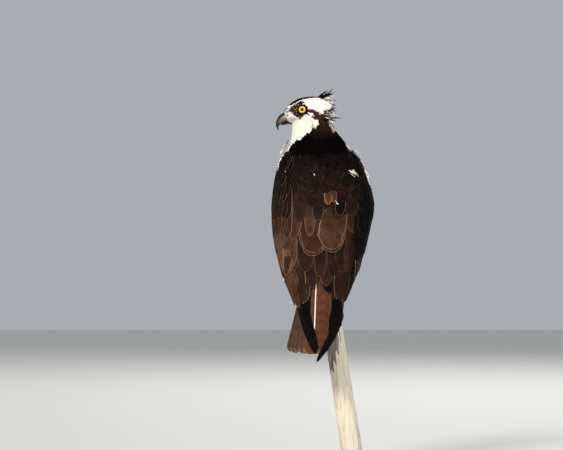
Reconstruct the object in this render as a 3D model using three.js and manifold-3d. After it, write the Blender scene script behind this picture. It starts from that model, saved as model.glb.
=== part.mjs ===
// A life-size osprey perched on the cut end of a dead branch, held by a plain display stand.
// Millimetres. +X is the bird's right, +Y the way its breast faces, +Z up. The origin is the middle of the
// base's underside. The head is turned to the bird's left, so it faces -X.
import * as THREE from "three";
import { mergeVertices } from "three/addons/utils/BufferGeometryUtils.js";
import Module from "manifold-3d";

const wasm = await Module();
wasm.setup();

// General sizes
const gap = 0.4; // between touching pieces
const ringPoints = 28; // points round the trunk of the bird
const shellPower = 0.9; // 1 gives elliptical sections, and less gives fuller ones

// Rows of the outline that the folded wings make: height, middle (X), half width, and the Y of the back,
// of the widest point and of the front.
const shellRows = [
  [664, -28, 54, 16, 46, 88],
  [640, -24.5, 71, 4, 46, 100],
  [612, -22, 84, -10, 42, 109],
  [575, -20, 94.5, -27, 34, 113],
  [530, -18, 101, -47, 21, 110],
  [485, -21.5, 96.5, -63, 7, 97],
  [440, -23.5, 88, -78, -10, 74],
  [400, -25, 76, -91, -31, 42],
  [366, -25.5, 63.5, -102, -55, 8],
  [335, -26, 50, -112, -78, -34],
  [300, -24, 38, -123, -98, -72],
  [262, -24, 26, -135, -118, -100],
  [226, -26, 14, -147, -136, -124],
];

// Rows of the body under the wings, from the vent to the top of the neck, in the same columns.
const trunkRows = [
  [300, -33, 13, -101, -95, -84],
  [320, -31, 24, -99, -88, -68],
  [348, -29, 36, -93, -78, -52],
  [378, -27, 48, -86, -64, -34],
  [408, -25, 60, -78, -42, -6],
  [442, -24, 74, -67, -14, 52],
  [485, -22, 84, -53, 7, 98],
  [530, -21, 87, -39, 21, 110],
  [575, -21, 83, -21, 34, 113],
  [612, -22, 76, -7, 42, 109],
  [640, -25, 66, 5, 46, 100],
  [664, -30, 52, 12, 46, 90],
  [684, -36.5, 43, 13, 45, 80],
  [702, -40.5, 39.5, 13, 43, 74],
  [720, -44, 32, 17, 43, 69],
];
const neckBase = 652; // where the neck is parted from the torso
const headBase = { x: -38, y: 43, z: 698, tilt: -7 }; // where the head is parted from the neck

// Head: X of each upright section, its bottom and top, and its half width. It is turned to the left.
const headPlane = 43; // Y of the head's own middle plane
const headRows = [
  [-3, 704, 734, 8],
  [-10, 693, 744, 20],
  [-22, 687, 749.5, 27.5],
  [-38, 685, 751, 30.5],
  [-54, 688, 750, 29.5],
  [-68, 692.5, 746.5, 25],
  [-80, 696, 740, 18.5],
  [-88, 699, 734, 13.5],
];
const eye = { x: -60, z: 724, radius: 10.5, sunk: 7.6, turn: 8 };
const lid = { inner: 7.6, thick: 1.5 };

// Bill: pairs of points (X, Z) on the culmen and on the cutting edge, and the half width there.
const cereRows = [
  [-86, 731, -84, 699.5, 12.5],
  [-92.5, 727, -86, 699.5, 10.6],
  [-97.2, 719.2, -88, 700, 8.6],
];
const billRows = [
  [-97.6, 718.8, -88.4, 699.9, 8.2],
  [-103.2, 714.8, -94.4, 697.7, 7.3],
  [-108.4, 708.4, -99.8, 696, 6],
  [-111.7, 700.6, -104, 694.2, 4.5],
  [-112.3, 693.6, -106.4, 691, 3],
  [-110.6, 687.4, -107, 686.8, 1.8],
  [-107, 682.2, -106.6, 682.2, 0.5],
];
const jawRows = [
  [-85, 698.9, -85, 694.2, 6.8],
  [-92, 697.2, -91, 692.6, 6],
  [-99, 694.6, -98, 691.2, 4.3],
  [-103.6, 692.7, -103, 691, 2.2],
];
const nostril = { x: -93.5, z: 713.5, long: 5, tall: 2.2, deep: 3 };
const gape = { from: [-90, 699.2], to: [-71, 704], tall: 0.9, deep: 3.2 };

// Wings: rows of height, the angle from mid-back where the wing starts, and the angle of its leading edge.
const wingRows = [
  [636, 52, 100],
  [618, 32, 118],
  [590, 12, 126],
  [555, 3.2, 126],
  [500, 2, 122],
  [450, 2.4, 117],
  [410, 6, 110],
  [373, 20, 103],
];
const wingCore = { top: 2.6, thick: 11, edge: 3.4, levels: 9, columns: 7 };

// Tiers of vanes on each wing, outermost tier last: root and tip heights, the angles at the first and the
// last vane's root and tip, half width, how far the root and the tip stand above the core, and thickness.
const wingTiers = [
  { count: 4, rootZ: [424, 420], tipZ: [338, 340], rootA: [34, 95], tipA: [33, 90], half: [18, 15], lift: [-3.6, -1.2] },
  { count: 2, rootZ: [456, 440], tipZ: [374, 392], rootA: [15, 27], tipA: [15, 27], half: [14, 16], lift: [-3.6, -0.8] },
  { count: 4, rootZ: [480, 472], tipZ: [404, 398], rootA: [43, 103], tipA: [44, 99], half: [18, 15], lift: [-3.6, 0] },
  { count: 4, rootZ: [538, 524], tipZ: [464, 452], rootA: [45, 106], tipA: [46, 103], half: [19, 16], lift: [-3.6, 0.4] },
  { count: 3, rootZ: [590, 580], tipZ: [520, 506], rootA: [52, 106], tipA: [54, 105], half: [21, 18], lift: [-3.6, 0.6] },
  { count: 2, rootZ: [512, 496], tipZ: [446, 430], rootA: [20, 43], tipA: [15.5, 38], half: [22, 18], lift: [-3.6, 0.8] },
  { count: 3, rootZ: [556, 544], tipZ: [494, 476], rootA: [14, 45], tipA: [12, 42], half: [16, 17], lift: [-3.6, 1.2] },
  { count: 2, rootZ: [594, 586], tipZ: [540, 524], rootA: [28, 54], tipA: [22, 50], half: [18, 18], lift: [-3.4, 1.4] },
];

// Wing tips: each primary runs from the wing's lower end to its own tip. Columns: X and Z of the tip.
// depth is how far the first lies under the line of the back, and bow how far they curve outwards.
const primaries = {
  left: { tips: [[-52, 300], [-44, 284], [-35, 266], [-31, 254], [-34, 243.5]], rootA: [30, 52], depth: 6, half: 10, bow: 0 },
  right: { tips: [[-7, 298], [-8, 276], [-12, 258], [-22, 241], [-31.5, 228]], rootA: [32, 62], depth: 0.6, half: 9.5, bow: 7 },
};
const primaryStep = 0.9; // how much deeper each one lies than the one over it
const primaryRoot = { top: 371.6, bottom: 346, outer: 4.6, inner: 11, span: [24, 76] };

// Tail: twelve feathers in a fan, the middle pair on top.
const tail = { root: [-32, 392], tip: [-40.5, 241], spread: 45, rootSpread: 12, half: 13, drop: 0.62, count: 12 };
const tailDepth = [[400, 19], [350, 19], [300, 15], [240, 13]]; // how far under the wings' back line

// Legs and perch
const perchTop = { x: -4, y: 12, z: 344 };
const perch = { radius: 17.5, knob: 22.5, lean: 0.155, leanBack: 0.02, bottom: 40, grow: 0.012 };
const thigh = { hip: [34, 34, 452], heel: [20, 14, 406], hipRadius: 34, heelRadius: 9.5 };
const tarsus = { radius: 5.4, foot: 13, spread: 12.5 };
const toeAngles = [17, 52, 121, 160]; // from straight ahead round to the back, outwards
const toe = { radius: 5.2, tipRadius: 4.1, hang: 24 };
const claw = { radius: 3.1, length: 26, steps: 5 };

// Stand
const base = { radius: 125, height: 18, edge: 3 };
const rod = { radius: 7 };

const materials = {
  darkFeather: new THREE.MeshStandardMaterial({ color: 0x35241c, roughness: 0.75 }),
  flightFeather: new THREE.MeshStandardMaterial({ color: 0x1a1512, roughness: 0.7 }),
  tailFeather: new THREE.MeshStandardMaterial({ color: 0x5c4233, roughness: 0.7 }),
  whiteFeather: new THREE.MeshStandardMaterial({ color: 0xe9e2d6, roughness: 0.85 }),
  cere: new THREE.MeshStandardMaterial({ color: 0xaab0b4, roughness: 0.5 }),
  horn: new THREE.MeshStandardMaterial({ color: 0x17161a, roughness: 0.3 }),
  eye: new THREE.MeshStandardMaterial({ color: 0xe8b21c, roughness: 0.1 }),
  scale: new THREE.MeshStandardMaterial({ color: 0x9aa39c, roughness: 0.6 }),
  deadWood: new THREE.MeshStandardMaterial({ color: 0xcfc4b4, roughness: 0.85 }),
  standWood: new THREE.MeshStandardMaterial({ color: 0x3b2a20, roughness: 0.4 }),
  rod: new THREE.MeshStandardMaterial({ color: 0x8f9296, roughness: 0.3, metalness: 1 }),
};

// General helpers

const vec = (x, y, z) => new THREE.Vector3(x, y, z);
const mix = (a, b, t) => a + (b - a) * t;
const rad = THREE.MathUtils.degToRad;

// Values of a row table at height h: Hermite curves whose slope at a row is that between its neighbours.
function rowAt(rows, h) {
  const list = rows[0][0] < rows[rows.length - 1][0] ? rows : [...rows].reverse();
  const last = list.length - 1;
  let i = 0;
  while (i < last - 1 && h > list[i + 1][0]) i += 1;
  const [a, b] = [list[i], list[i + 1]];
  const before = list[Math.max(0, i - 1)];
  const after = list[Math.min(last, i + 2)];
  const span = b[0] - a[0];
  const t = Math.min(1, Math.max(0, (h - a[0]) / span));
  return a.map((value, k) => {
    if (k === 0) return h;
    const slopeA = (b[k] - before[k]) / (b[0] - before[0]);
    const slopeB = (after[k] - a[k]) / (after[0] - a[0]);
    const t2 = t * t;
    const t3 = t2 * t;
    return (
      value * (2 * t3 - 3 * t2 + 1) +
      b[k] * (3 * t2 - 2 * t3) +
      slopeA * span * (t3 - 2 * t2 + t) +
      slopeB * span * (t3 - t2)
    );
  });
}

// A closed solid from three.js geometry.
function solid(geometry) {
  const bare = new THREE.BufferGeometry();
  bare.setAttribute("position", geometry.getAttribute("position"));
  if (geometry.index) bare.setIndex(geometry.index);
  const merged = mergeVertices(bare, 1e-4);
  return new wasm.Manifold(
    new wasm.Mesh({
      numProp: 3,
      vertProperties: new Float32Array(merged.attributes.position.array),
      triVerts: new Uint32Array(merged.index.array),
    }),
  );
}

function geometryOf(points, faces) {
  const geometry = new THREE.BufferGeometry().setFromPoints(points);
  geometry.setIndex(faces);
  return geometry;
}

// Rings of points, joined side by side and closed at both ends by fans.
function loft(rings) {
  const count = rings[0].length;
  const points = rings.flat();
  const faces = [];
  for (let i = 0; i < rings.length - 1; i += 1)
    for (let j = 0; j < count; j += 1) {
      const a = i * count + j;
      const b = i * count + ((j + 1) % count);
      faces.push(a, b, b + count, a, b + count, a + count);
    }
  const middle = (ring) => ring.reduce((sum, p) => sum.add(p), vec(0, 0, 0)).divideScalar(count);
  points.push(middle(rings[0]), middle(rings[rings.length - 1]));
  const first = points.length - 2;
  const start = (rings.length - 1) * count;
  for (let j = 0; j < count; j += 1) {
    faces.push(first, (j + 1) % count, j);
    faces.push(first + 1, start + j, start + ((j + 1) % count));
  }
  return outward(geometryOf(points, faces));
}

// Two grids of points, rows of equal length, as the upper and lower face of a plate with walls all round.
function plate(top, bottom) {
  const [rows, columns] = [top.length, top[0].length];
  const points = [...top.flat(), ...bottom.flat()];
  const under = rows * columns;
  const faces = [];
  for (let i = 0; i < rows - 1; i += 1)
    for (let j = 0; j < columns - 1; j += 1) {
      const [a, b, c, d] = [i * columns + j, i * columns + j + 1, (i + 1) * columns + j + 1, (i + 1) * columns + j];
      faces.push(a, b, c, a, c, d);
      faces.push(under + c, under + b, under + a, under + d, under + c, under + a);
    }
  const rim = [];
  for (let j = 0; j < columns - 1; j += 1) rim.push(j);
  for (let i = 0; i < rows - 1; i += 1) rim.push(i * columns + columns - 1);
  for (let j = columns - 1; j > 0; j -= 1) rim.push((rows - 1) * columns + j);
  for (let i = rows - 1; i > 0; i -= 1) rim.push(i * columns);
  rim.forEach((a, k) => {
    const b = rim[(k + 1) % rim.length];
    faces.push(b, a, under + a, b, under + a, under + b);
  });
  return outward(geometryOf(points, faces));
}

// Turns the faces round where the volume that they enclose is negative.
function outward(geometry) {
  const p = geometry.getAttribute("position");
  const index = geometry.index.array;
  const corner = [vec(), vec(), vec()];
  let volume = 0;
  for (let i = 0; i < index.length; i += 3) {
    corner.forEach((v, k) => v.fromBufferAttribute(p, index[i + k]));
    volume += corner[0].dot(corner[1].clone().cross(corner[2]));
  }
  if (volume < 0) for (let i = 0; i < index.length; i += 3) [index[i], index[i + 1]] = [index[i + 1], index[i]];
  return solid(geometry);
}

const largest = (body) => body.decompose().sort((a, b) => b.volume() - a.volume())[0];
const join = (bodies) => largest(bodies.reduce((sum, body) => sum.add(body)));

// Surface of a row table: the point at height h and angle from mid-back, moved off the surface by off.
function rowPoint(rows, h, angle, grow = 0) {
  const [, mid, half, back, side, front] = rowAt(rows, h);
  const [s, c] = [Math.sin(rad(angle)), Math.cos(rad(angle))];
  const across = Math.sign(s) * Math.abs(s) ** shellPower;
  const along = Math.abs(c) ** shellPower;
  const y = c > 0 ? side + (back - side - grow) * along : side + (front - side + grow) * along;
  return vec(mid + (half + grow) * across, y, h);
}

function onShell(h, angle, off) {
  const here = rowPoint(shellRows, h, angle);
  const across = rowPoint(shellRows, h, angle + 2).sub(rowPoint(shellRows, h, angle - 2));
  const up = rowPoint(shellRows, h + 2, angle).sub(rowPoint(shellRows, h - 2, angle));
  return here.addScaledVector(across.cross(up).normalize(), off);
}

// A feather vane on a surface at(u, v, off), from root to tip (both [u, v]), as a thin curved plate.
const vaneStations = [0, 0.48, 0.86, 1];
function vane(at, root, tip, { half, lift, roll = 0, thick = [1.2, 0.8], across = half > 14.5 ? 3 : 2, rootShare = 0.7, tipShare = 0.3 }) {
  const [du, dv] = [tip[0] - root[0], tip[1] - root[1]];
  const [top, bottom] = [[], []];
  for (const s of vaneStations) {
    const [u, v] = [root[0] + du * s, root[1] + dv * s];
    const step = 0.02;
    const eu = at(u + step, v, 0).sub(at(u - step, v, 0)).divideScalar(2 * step);
    const ev = at(u, v + step, 0).sub(at(u, v - step, 0)).divideScalar(2 * step);
    const normal = eu.clone().cross(ev).normalize();
    const along = eu.clone().multiplyScalar(du).addScaledVector(ev, dv).normalize();
    const side = normal.cross(along).normalize();
    // The step in u and v that moves one millimetre along side
    const [uu, uv, vv] = [eu.dot(eu), eu.dot(ev), ev.dot(ev)];
    const [su, sv] = [side.dot(eu), side.dot(ev)];
    const det = uu * vv - uv * uv;
    const [gu, gv] = [(su * vv - sv * uv) / det, (sv * uu - su * uv) / det];
    const width = half * (s < 0.4 ? mix(rootShare, 1, s / 0.4) : s > 0.7 ? 1 - (1 - tipShare) * ((s - 0.7) / 0.3) ** 2.6 : 1);
    const height = mix(lift[0], lift[1], Math.min(1, s * 1.6));
    const depth = mix(thick[0], thick[1], s);
    const [upper, lower] = [[], []];
    for (let j = 0; j < across; j += 1) {
      const q = (2 * j) / (across - 1) - 1;
      const crown = roll * q + (across > 2 ? 0.5 * (1 - q * q) : 0);
      upper.push(at(u + gu * width * q, v + gv * width * q, height + crown));
      lower.push(at(u + gu * width * q, v + gv * width * q, height + crown - depth));
    }
    top.push(upper);
    bottom.push(lower);
  }
  return plate(top, bottom);
}

// Body

function trunk(grow) {
  const heights = [300, 320, 345, 372, 400, 430, 465, 500, 535, 570, 600, 625, 645, 660, 675, 692, 708, 720];
  return loft(
    heights.map((h) =>
      Array.from({ length: ringPoints }, (_, j) => rowPoint(trunkRows, h, (360 * j) / ringPoints, grow)),
    ),
  );
}

function headForm(grow) {
  const places = [-3, -6, -11, -18, -28, -40, -52, -62, -71, -79, -84, -88];
  return loft(
    places.map((x) => {
      const [, bottom, top, half] = rowAt(headRows, x);
      const [middle, tall] = [(bottom + top) / 2, (top - bottom) / 2 + grow];
      return Array.from({ length: 24 }, (_, j) => {
        const a = (2 * Math.PI * j) / 24;
        return vec(x, headPlane + (half + grow) * Math.cos(a), middle + tall * Math.sin(a));
      });
    }),
  );
}

// A thin slab that parts a body: centred at (x, y, z) and tilted about Y.
function slab(x, y, z, tilt) {
  const box = new THREE.BoxGeometry(400, 400, gap);
  box.rotateY(rad(tilt));
  box.translate(x, y, z);
  return solid(box);
}

const bodyParts = (body) => body.decompose().sort((a, b) => a.boundingBox().max[2] - b.boundingBox().max[2]);

// Rings of a bill piece between two profiles: an egg-shaped section from the lower to the upper point.
function billForm(rows, grow = 0) {
  return loft(
    rows.map(([topX, topZ, lowX, lowZ, half]) => {
      const [top, low] = [vec(topX, headPlane, topZ), vec(lowX, headPlane, lowZ)];
      const middle = top.clone().lerp(low, 0.5);
      const up = top.sub(low).multiplyScalar(0.5);
      const length = up.length() || 1;
      up.multiplyScalar((length + grow) / length);
      return Array.from({ length: 12 }, (_, j) => {
        const a = (2 * Math.PI * j) / 12;
        const pinch = 1 - 0.28 * Math.sin(a); // narrower above than below
        return middle.clone().addScaledVector(up, Math.sin(a)).add(vec(0, (half + grow) * Math.cos(a) * pinch, 0));
      });
    }),
  );
}

function eyePlace(side) {
  const [, bottom, top, half] = rowAt(headRows, eye.x);
  const rise = (eye.z - (bottom + top) / 2) / ((top - bottom) / 2);
  const surface = half * Math.sqrt(1 - rise * rise);
  const out = vec(-Math.sin(rad(eye.turn)), side * Math.cos(rad(eye.turn)), 0.1).normalize();
  return { centre: vec(eye.x, headPlane + side * (surface - eye.sunk), eye.z), out };
}

function ball(centre, radius, detail) {
  const sphere = new THREE.SphereGeometry(radius, detail, detail / 2);
  sphere.translate(centre.x, centre.y, centre.z);
  return solid(sphere);
}

function lidRing(side) {
  const { centre, out } = eyePlace(side);
  const ring = new THREE.TorusGeometry(lid.inner, lid.thick, 5, 16);
  ring.applyQuaternion(new THREE.Quaternion().setFromUnitVectors(vec(0, 0, 1), out));
  const place = centre.clone().addScaledVector(out, Math.sqrt(eye.radius ** 2 - lid.inner ** 2) + 0.2);
  ring.translate(place.x, place.y, place.z);
  return solid(ring);
}

// Crest and nape: flat tapered locks that stand off the back of the head.
function crestLocks(grow) {
  const locks = [];
  const rows = 4;
  for (let i = 0; i < rows; i += 1) {
    const count = [3, 5, 5, 4][i];
    for (let j = 0; j < count; j += 1) {
      const side = count > 1 ? (2 * j) / (count - 1) - 1 : 0;
      const root = vec(-20 + 4 * i, headPlane + side * (13 + 3 * i), 744 - 11.5 * i - 4 * side * side);
      const rise = [0.75, 0.28, -0.05, -0.4][i];
      const length = [25, 22, 21, 22][i] * (1 - 0.25 * side * side);
      const way = vec(1, side * 0.42, rise).normalize();
      locks.push(lock(root, way, length + grow, 4.6 + grow, 1.4 + 2 * grow));
    }
  }
  return locks;
}

// One lock: a flat plate that narrows to its tip and bends down a little.
function lock(root, way, length, half, thick) {
  const side = way.clone().cross(vec(0, 0, 1)).normalize();
  const up = side.clone().cross(way).normalize();
  const [top, bottom] = [[], []];
  for (const s of [0, 0.5, 0.8, 1]) {
    const spine = root.clone().addScaledVector(way, length * s).addScaledVector(up, -2.5 * s * s);
    const width = half * (1 - 0.86 * s * s);
    const depth = thick * (1 - 0.45 * s);
    top.push([-1, 1].map((q) => spine.clone().addScaledVector(side, width * q).addScaledVector(up, depth / 2)));
    bottom.push([-1, 1].map((q) => spine.clone().addScaledVector(side, width * q).addScaledVector(up, -depth / 2)));
  }
  return plate(top, bottom);
}

// Wings

function wingCoreForm(side) {
  const { top, thick, edge, levels, columns } = wingCore;
  const [first, last] = [wingRows[0][0], wingRows[wingRows.length - 1][0]];
  const [outer, inner] = [[], []];
  for (let i = 0; i < levels; i += 1) {
    const h = mix(first, last, i / (levels - 1));
    const [, start, lead] = rowAt(wingRows, h);
    const thin = Math.min(1, 0.45 + 0.55 * Math.min((first - h) / 40, (h - last) / 60 + 0.15));
    const [outerRow, innerRow] = [[], []];
    for (let j = 0; j < columns; j += 1) {
      const u = j / (columns - 1);
      const angle = side * mix(start, lead, u);
      const bulge = Math.sin(Math.PI * u) ** 0.55;
      const round = u > 0.93 ? 1.6 : 0;
      outerRow.push(onShell(h, angle, side * -(top + round) * side));
      innerRow.push(onShell(h, angle, -(top + mix(edge, thick, bulge) * thin)));
    }
    outer.push(outerRow);
    inner.push(innerRow);
  }
  return plate(outer, inner);
}

function tierVanes(tier, side) {
  return Array.from({ length: tier.count }, (_, k) => {
    const t = tier.count > 1 ? k / (tier.count - 1) : 0;
    const root = [mix(...tier.rootZ, t), side * mix(...tier.rootA, t)];
    const tip = [mix(...tier.tipZ, t), side * mix(...tier.tipA, t)];
    return vane(onShell, root, tip, { half: mix(...tier.half, t), lift: tier.lift.map((x) => x - 1), roll: -0.6 * side });
  });
}

// The flight feathers of the hand lie on planes that slope with the back, each deeper than the one over it.
function backAt(h) {
  return rowAt(shellRows, h)[3];
}

function primaryForm(name, side, grow) {
  const { tips, rootA, depth, half, bow } = primaries[name];
  const rootZ = primaryRoot.top - 2;
  const vanes = tips.map(([x, z], k) => {
    const t = k / (tips.length - 1);
    const angle = side * mix(...rootA, t);
    const rootX = rowPoint(shellRows, rootZ, angle).x;
    const sunk = primaryRoot.outer + 0.7 + 0.7 * k;
    // From the curved side of the wing at the root to a flat pile at the tip
    const at = (u, v, off) => {
      const s = (u - rootZ) / (z - rootZ);
      const ease = THREE.MathUtils.smoothstep(s, 0.05, 0.75);
      const curved = onShell(u, angle + (v / 60) * THREE.MathUtils.RAD2DEG, off - sunk);
      const flatX = mix(rootX, x, s) + v + side * bow * Math.sin(Math.PI * s);
      return curved.lerp(vec(flatX, backAt(u) + depth + primaryStep * k - off, u), ease);
    };
    const width = mix(half, half * 0.85, t) + grow;
    const thick = [1.4 + 2 * grow, 1 + 2 * grow];
    const shape = { half: width, lift: [grow, grow], thick, across: 2, rootShare: 0.95, tipShare: 0.2 };
    return vane(at, [rootZ, 0], [z, 0], shape);
  });
  const levels = [primaryRoot.top + grow, 361, primaryRoot.bottom - grow];
  const [from, to] = primaryRoot.span;
  const angles = [from - 0.6 * grow, mix(from, to, 0.33), mix(from, to, 0.67), to + 0.6 * grow];
  const face = (depth) => levels.map((h) => angles.map((a) => onShell(h, side * a, -depth)));
  return join([plate(face(primaryRoot.outer - grow), face(primaryRoot.inner + grow)), ...vanes]);
}

// Tail

function tailSurface(h, x, off, layer) {
  const under = rowAt(tailDepth.map(([z, d]) => [z, d]), h)[1];
  const t = (tail.root[1] - h) / (tail.root[1] - tail.tip[1]);
  const middle = mix(tail.root[0], tail.tip[0], t);
  const arch = 8 * ((x - middle) / 50) ** 2;
  return vec(x, backAt(h) + under + arch + layer - off, h);
}

function tailVanes() {
  const pairs = tail.count / 2;
  const bodies = [];
  for (let k = 0; k < pairs; k += 1)
    for (const side of [-1, 1]) {
      const share = (k + 0.5) / pairs;
      const root = [tail.root[1], tail.root[0] + side * tail.rootSpread * share];
      const tipZ = tail.tip[1] + 1.6 * k;
      const tip = [tipZ, tail.tip[0] + side * tail.spread * share];
      const layer = tail.drop * (2 * k + (side > 0 ? 1 : 0));
      const at = (u, v, off) => tailSurface(u, v, off, layer);
      bodies.push(vane(at, root, tip, { half: tail.half, lift: [0, 0], thick: [1.1, 0.8], across: 2, rootShare: 0.6, tipShare: 0.45 }));
    }
  const block = [];
  const inner = [];
  for (const h of [404, 390, 376]) {
    const reach = [-1, -0.4, 0.4, 1].map((q) => tail.root[0] + q * (tail.rootSpread + 6));
    block.push(reach.map((x) => tailSurface(h, x, 0.4, 0)));
    inner.push(reach.map((x) => tailSurface(h, x, -8.4, 0)));
  }
  bodies.push(plate(block, inner));
  return bodies;
}

// Legs

function tube(points, radii, sides = 10) {
  const curve = new THREE.CatmullRomCurve3(points);
  const steps = radii.length - 1;
  const frames = curve.computeFrenetFrames(steps, false);
  return loft(
    radii.map((radius, i) => {
      const centre = curve.getPointAt(i / steps);
      return Array.from({ length: sides }, (_, j) => {
        const a = (2 * Math.PI * j) / sides;
        return centre
          .clone()
          .addScaledVector(frames.normals[i], radius * Math.cos(a))
          .addScaledVector(frames.binormals[i], radius * Math.sin(a));
      });
    }),
  );
}

function perchAt(h) {
  const down = perchTop.z - h;
  return vec(perchTop.x + perch.lean * down * (down / (down + 25)), perchTop.y + perch.leanBack * down, h);
}

function perchRadius(h, angle) {
  const down = perchTop.z - h;
  const knob = (perch.knob - perch.radius) * Math.exp(-((down / 26) ** 2));
  const ridges = 0.9 * Math.sin(3 * angle + 0.6) + 0.5 * Math.sin(7 * angle + h * 0.01);
  return perch.radius + knob + perch.grow * down + ridges;
}

function perchForm(grow) {
  const heights = [344, 338, 328, 314, 298, 276, 240, 190, 130, 80, perch.bottom];
  return loft(
    heights.map((h, i) => {
      const centre = perchAt(h);
      const end = i === 0 ? 0.86 : 1;
      const lift = i === 0 ? grow : i === heights.length - 1 ? -grow : 0;
      return Array.from({ length: 20 }, (_, j) => {
        const a = (2 * Math.PI * j) / 20;
        const r = perchRadius(h, a) * end + grow;
        return vec(centre.x + r * Math.cos(a), centre.y + r * Math.sin(a), h + lift);
      });
    }),
  );
}

const footCentre = (side) => vec(perchTop.x + side * tarsus.foot, perchTop.y, perchTop.z + toe.radius + gap);
const heelPoint = (side) => vec(trunkMid + side * thigh.heel[0], thigh.heel[1], thigh.heel[2]);
const trunkMid = -22;

function thighForm(side, grow) {
  const hip = vec(trunkMid + side * thigh.hip[0], thigh.hip[1], thigh.hip[2]);
  const heel = heelPoint(side);
  const middle = hip.clone().lerp(heel, 0.55).add(vec(side * 2, 3, 0));
  return tube([hip, middle, heel], [thigh.hipRadius * 0.8, thigh.hipRadius, 27, 18, thigh.heelRadius].map((r) => r + grow), 16);
}

// Where a toe runs: along the perch's top, over its rim and down its side.
function toePoints(side, angle) {
  const start = footCentre(side);
  const way = vec(side * Math.sin(rad(angle)), Math.cos(rad(angle)), 0);
  const onRim = (out, down) => {
    const centre = perchAt(perchTop.z - down);
    const r = perchRadius(perchTop.z - down, Math.atan2(way.y, way.x)) + out;
    return vec(centre.x + way.x * r, centre.y + way.y * r, perchTop.z - down);
  };
  const rim = onRim(-1.5, 0);
  rim.z = perchTop.z + toe.radius + gap - 0.6;
  const shoulder = onRim(toe.radius + 1.2, 7);
  const end = onRim(toe.tipRadius + gap + 0.4, toe.hang);
  return [start, start.clone().lerp(rim, 0.6), rim, shoulder, end];
}

function footForm(side) {
  const heel = heelPoint(side);
  const foot = footCentre(side).add(vec(0, 0, 4));
  const bodies = [
    tube([heel.clone().add(vec(0, 0, 1)), heel.clone().lerp(foot, 0.5).add(vec(0, -2, 0)), foot], [7.4, 5.9, tarsus.radius, 5.6, 7.6], 10),
  ];
  for (const angle of toeAngles) {
    const radii = [toe.radius, 5.4, 4.9, 5.1, 4.5, toe.tipRadius];
    bodies.push(tube(toePoints(side, angle), radii, 7));
  }
  return join(bodies);
}

function clawForm(side, angle, grow = 0) {
  const points = toePoints(side, angle);
  const end = points[points.length - 1];
  const centre = perchAt(end.z);
  const out = vec(end.x - centre.x, end.y - centre.y, 0).normalize();
  const path = [];
  for (let i = 0; i <= 4; i += 1) {
    const s = i / 4;
    const bow = Math.sin(Math.PI * s) * 4.2;
    path.push(end.clone().addScaledVector(out, bow - 1.6 * s).add(vec(0, 0, -gap - claw.length * s * 0.9)));
  }
  const radii = [claw.radius, claw.radius * 0.86, claw.radius * 0.66, claw.radius * 0.42, 0.45];
  return tube(path, radii.map((r) => r + grow), 7);
}

// Assembly

const group = new THREE.Group();

function addNode(name, body, material) {
  const made = largest(body).getMesh();
  const geometry = new THREE.BufferGeometry();
  geometry.setAttribute("position", new THREE.BufferAttribute(Float32Array.from(made.vertProperties), 3));
  geometry.setIndex(new THREE.BufferAttribute(Uint32Array.from(made.triVerts), 1));
  geometry.computeVertexNormals();
  const mesh = new THREE.Mesh(geometry, materials[material]);
  mesh.name = name;
  group.add(mesh);
}

const neckCut = slab(-30, 40, neckBase, 0);
const headCut = slab(headBase.x, headBase.y, headBase.z, headBase.tilt);
const cereSolid = billForm(cereRows);
const cereRoom = billForm(cereRows, gap);
const billSolid = billForm(billRows);
const billRoom = billForm(billRows, gap);
const jawSolid = billForm(jawRows);
const jawRoom = billForm(jawRows, gap);

const wholeBody = join([trunk(0), headForm(0)]).subtract(neckCut).subtract(headCut);
const [torsoPart, neckPart, headPart] = bodyParts(wholeBody).filter((b) => b.volume() > 5000);

// Head, with lids, crest, the line of the mouth and room for the bill and the eyes
let head = join([headPart, lidRing(1), lidRing(-1), ...crestLocks(0)]);
for (const side of [-1, 1]) {
  const { centre } = eyePlace(side);
  head = head.subtract(ball(centre, eye.radius + gap, 18));
}
for (const room of [cereRoom, billRoom, jawRoom]) head = head.subtract(room);
for (const side of [-1, 1]) {
  const [ax, az] = gape.from;
  const [bx, bz] = gape.to;
  const slot = new THREE.BoxGeometry(Math.hypot(bx - ax, bz - az), 2 * gape.deep, gape.tall);
  slot.rotateY(-Math.atan2(bz - az, bx - ax));
  const [, , , half] = rowAt(headRows, (ax + bx) / 2);
  slot.translate((ax + bx) / 2, headPlane + side * (half - 1), (az + bz) / 2);
  head = head.subtract(solid(slot));
}

let cere = cereSolid.subtract(billRoom).subtract(jawRoom);
for (const side of [-1, 1]) {
  const hole = new THREE.SphereGeometry(1, 10, 6);
  hole.scale(nostril.long / 2, nostril.deep, nostril.tall / 2);
  hole.rotateY(rad(-25));
  hole.translate(nostril.x, headPlane + side * 10.5, nostril.z);
  cere = cere.subtract(solid(hole));
}

addNode("torso", torsoPart, "whiteFeather");
addNode("neck", crestLocks(gap).reduce((rest, room) => rest.subtract(room), neckPart), "darkFeather");
addNode("head", head, "whiteFeather");
addNode("cere", cere, "cere");
addNode("bill_upper", billSolid, "horn");
addNode("bill_lower", jawSolid.subtract(billRoom), "horn");
for (const [name, side] of [["eye_left", -1], ["eye_right", 1]]) {
  addNode(name, ball(eyePlace(side).centre, eye.radius, 16), "eye");
}

const torsoRoom = trunk(gap);
for (const [name, side] of [["left", -1], ["right", 1]]) {
  const vanes = wingTiers.flatMap((tier) => tierVanes(tier, side));
  const wing = join([wingCoreForm(side), ...vanes]).subtract(torsoRoom).subtract(primaryForm(name, side, gap + 0.15)).subtract(primaryForm(name, side, 0));
  addNode(`wing_${name}`, wing, "darkFeather");
  addNode(`primaries_${name}`, primaryForm(name, side, 0).subtract(torsoRoom), "flightFeather");
}

addNode("tail", join(tailVanes()).subtract(torsoRoom), "tailFeather");

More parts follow.
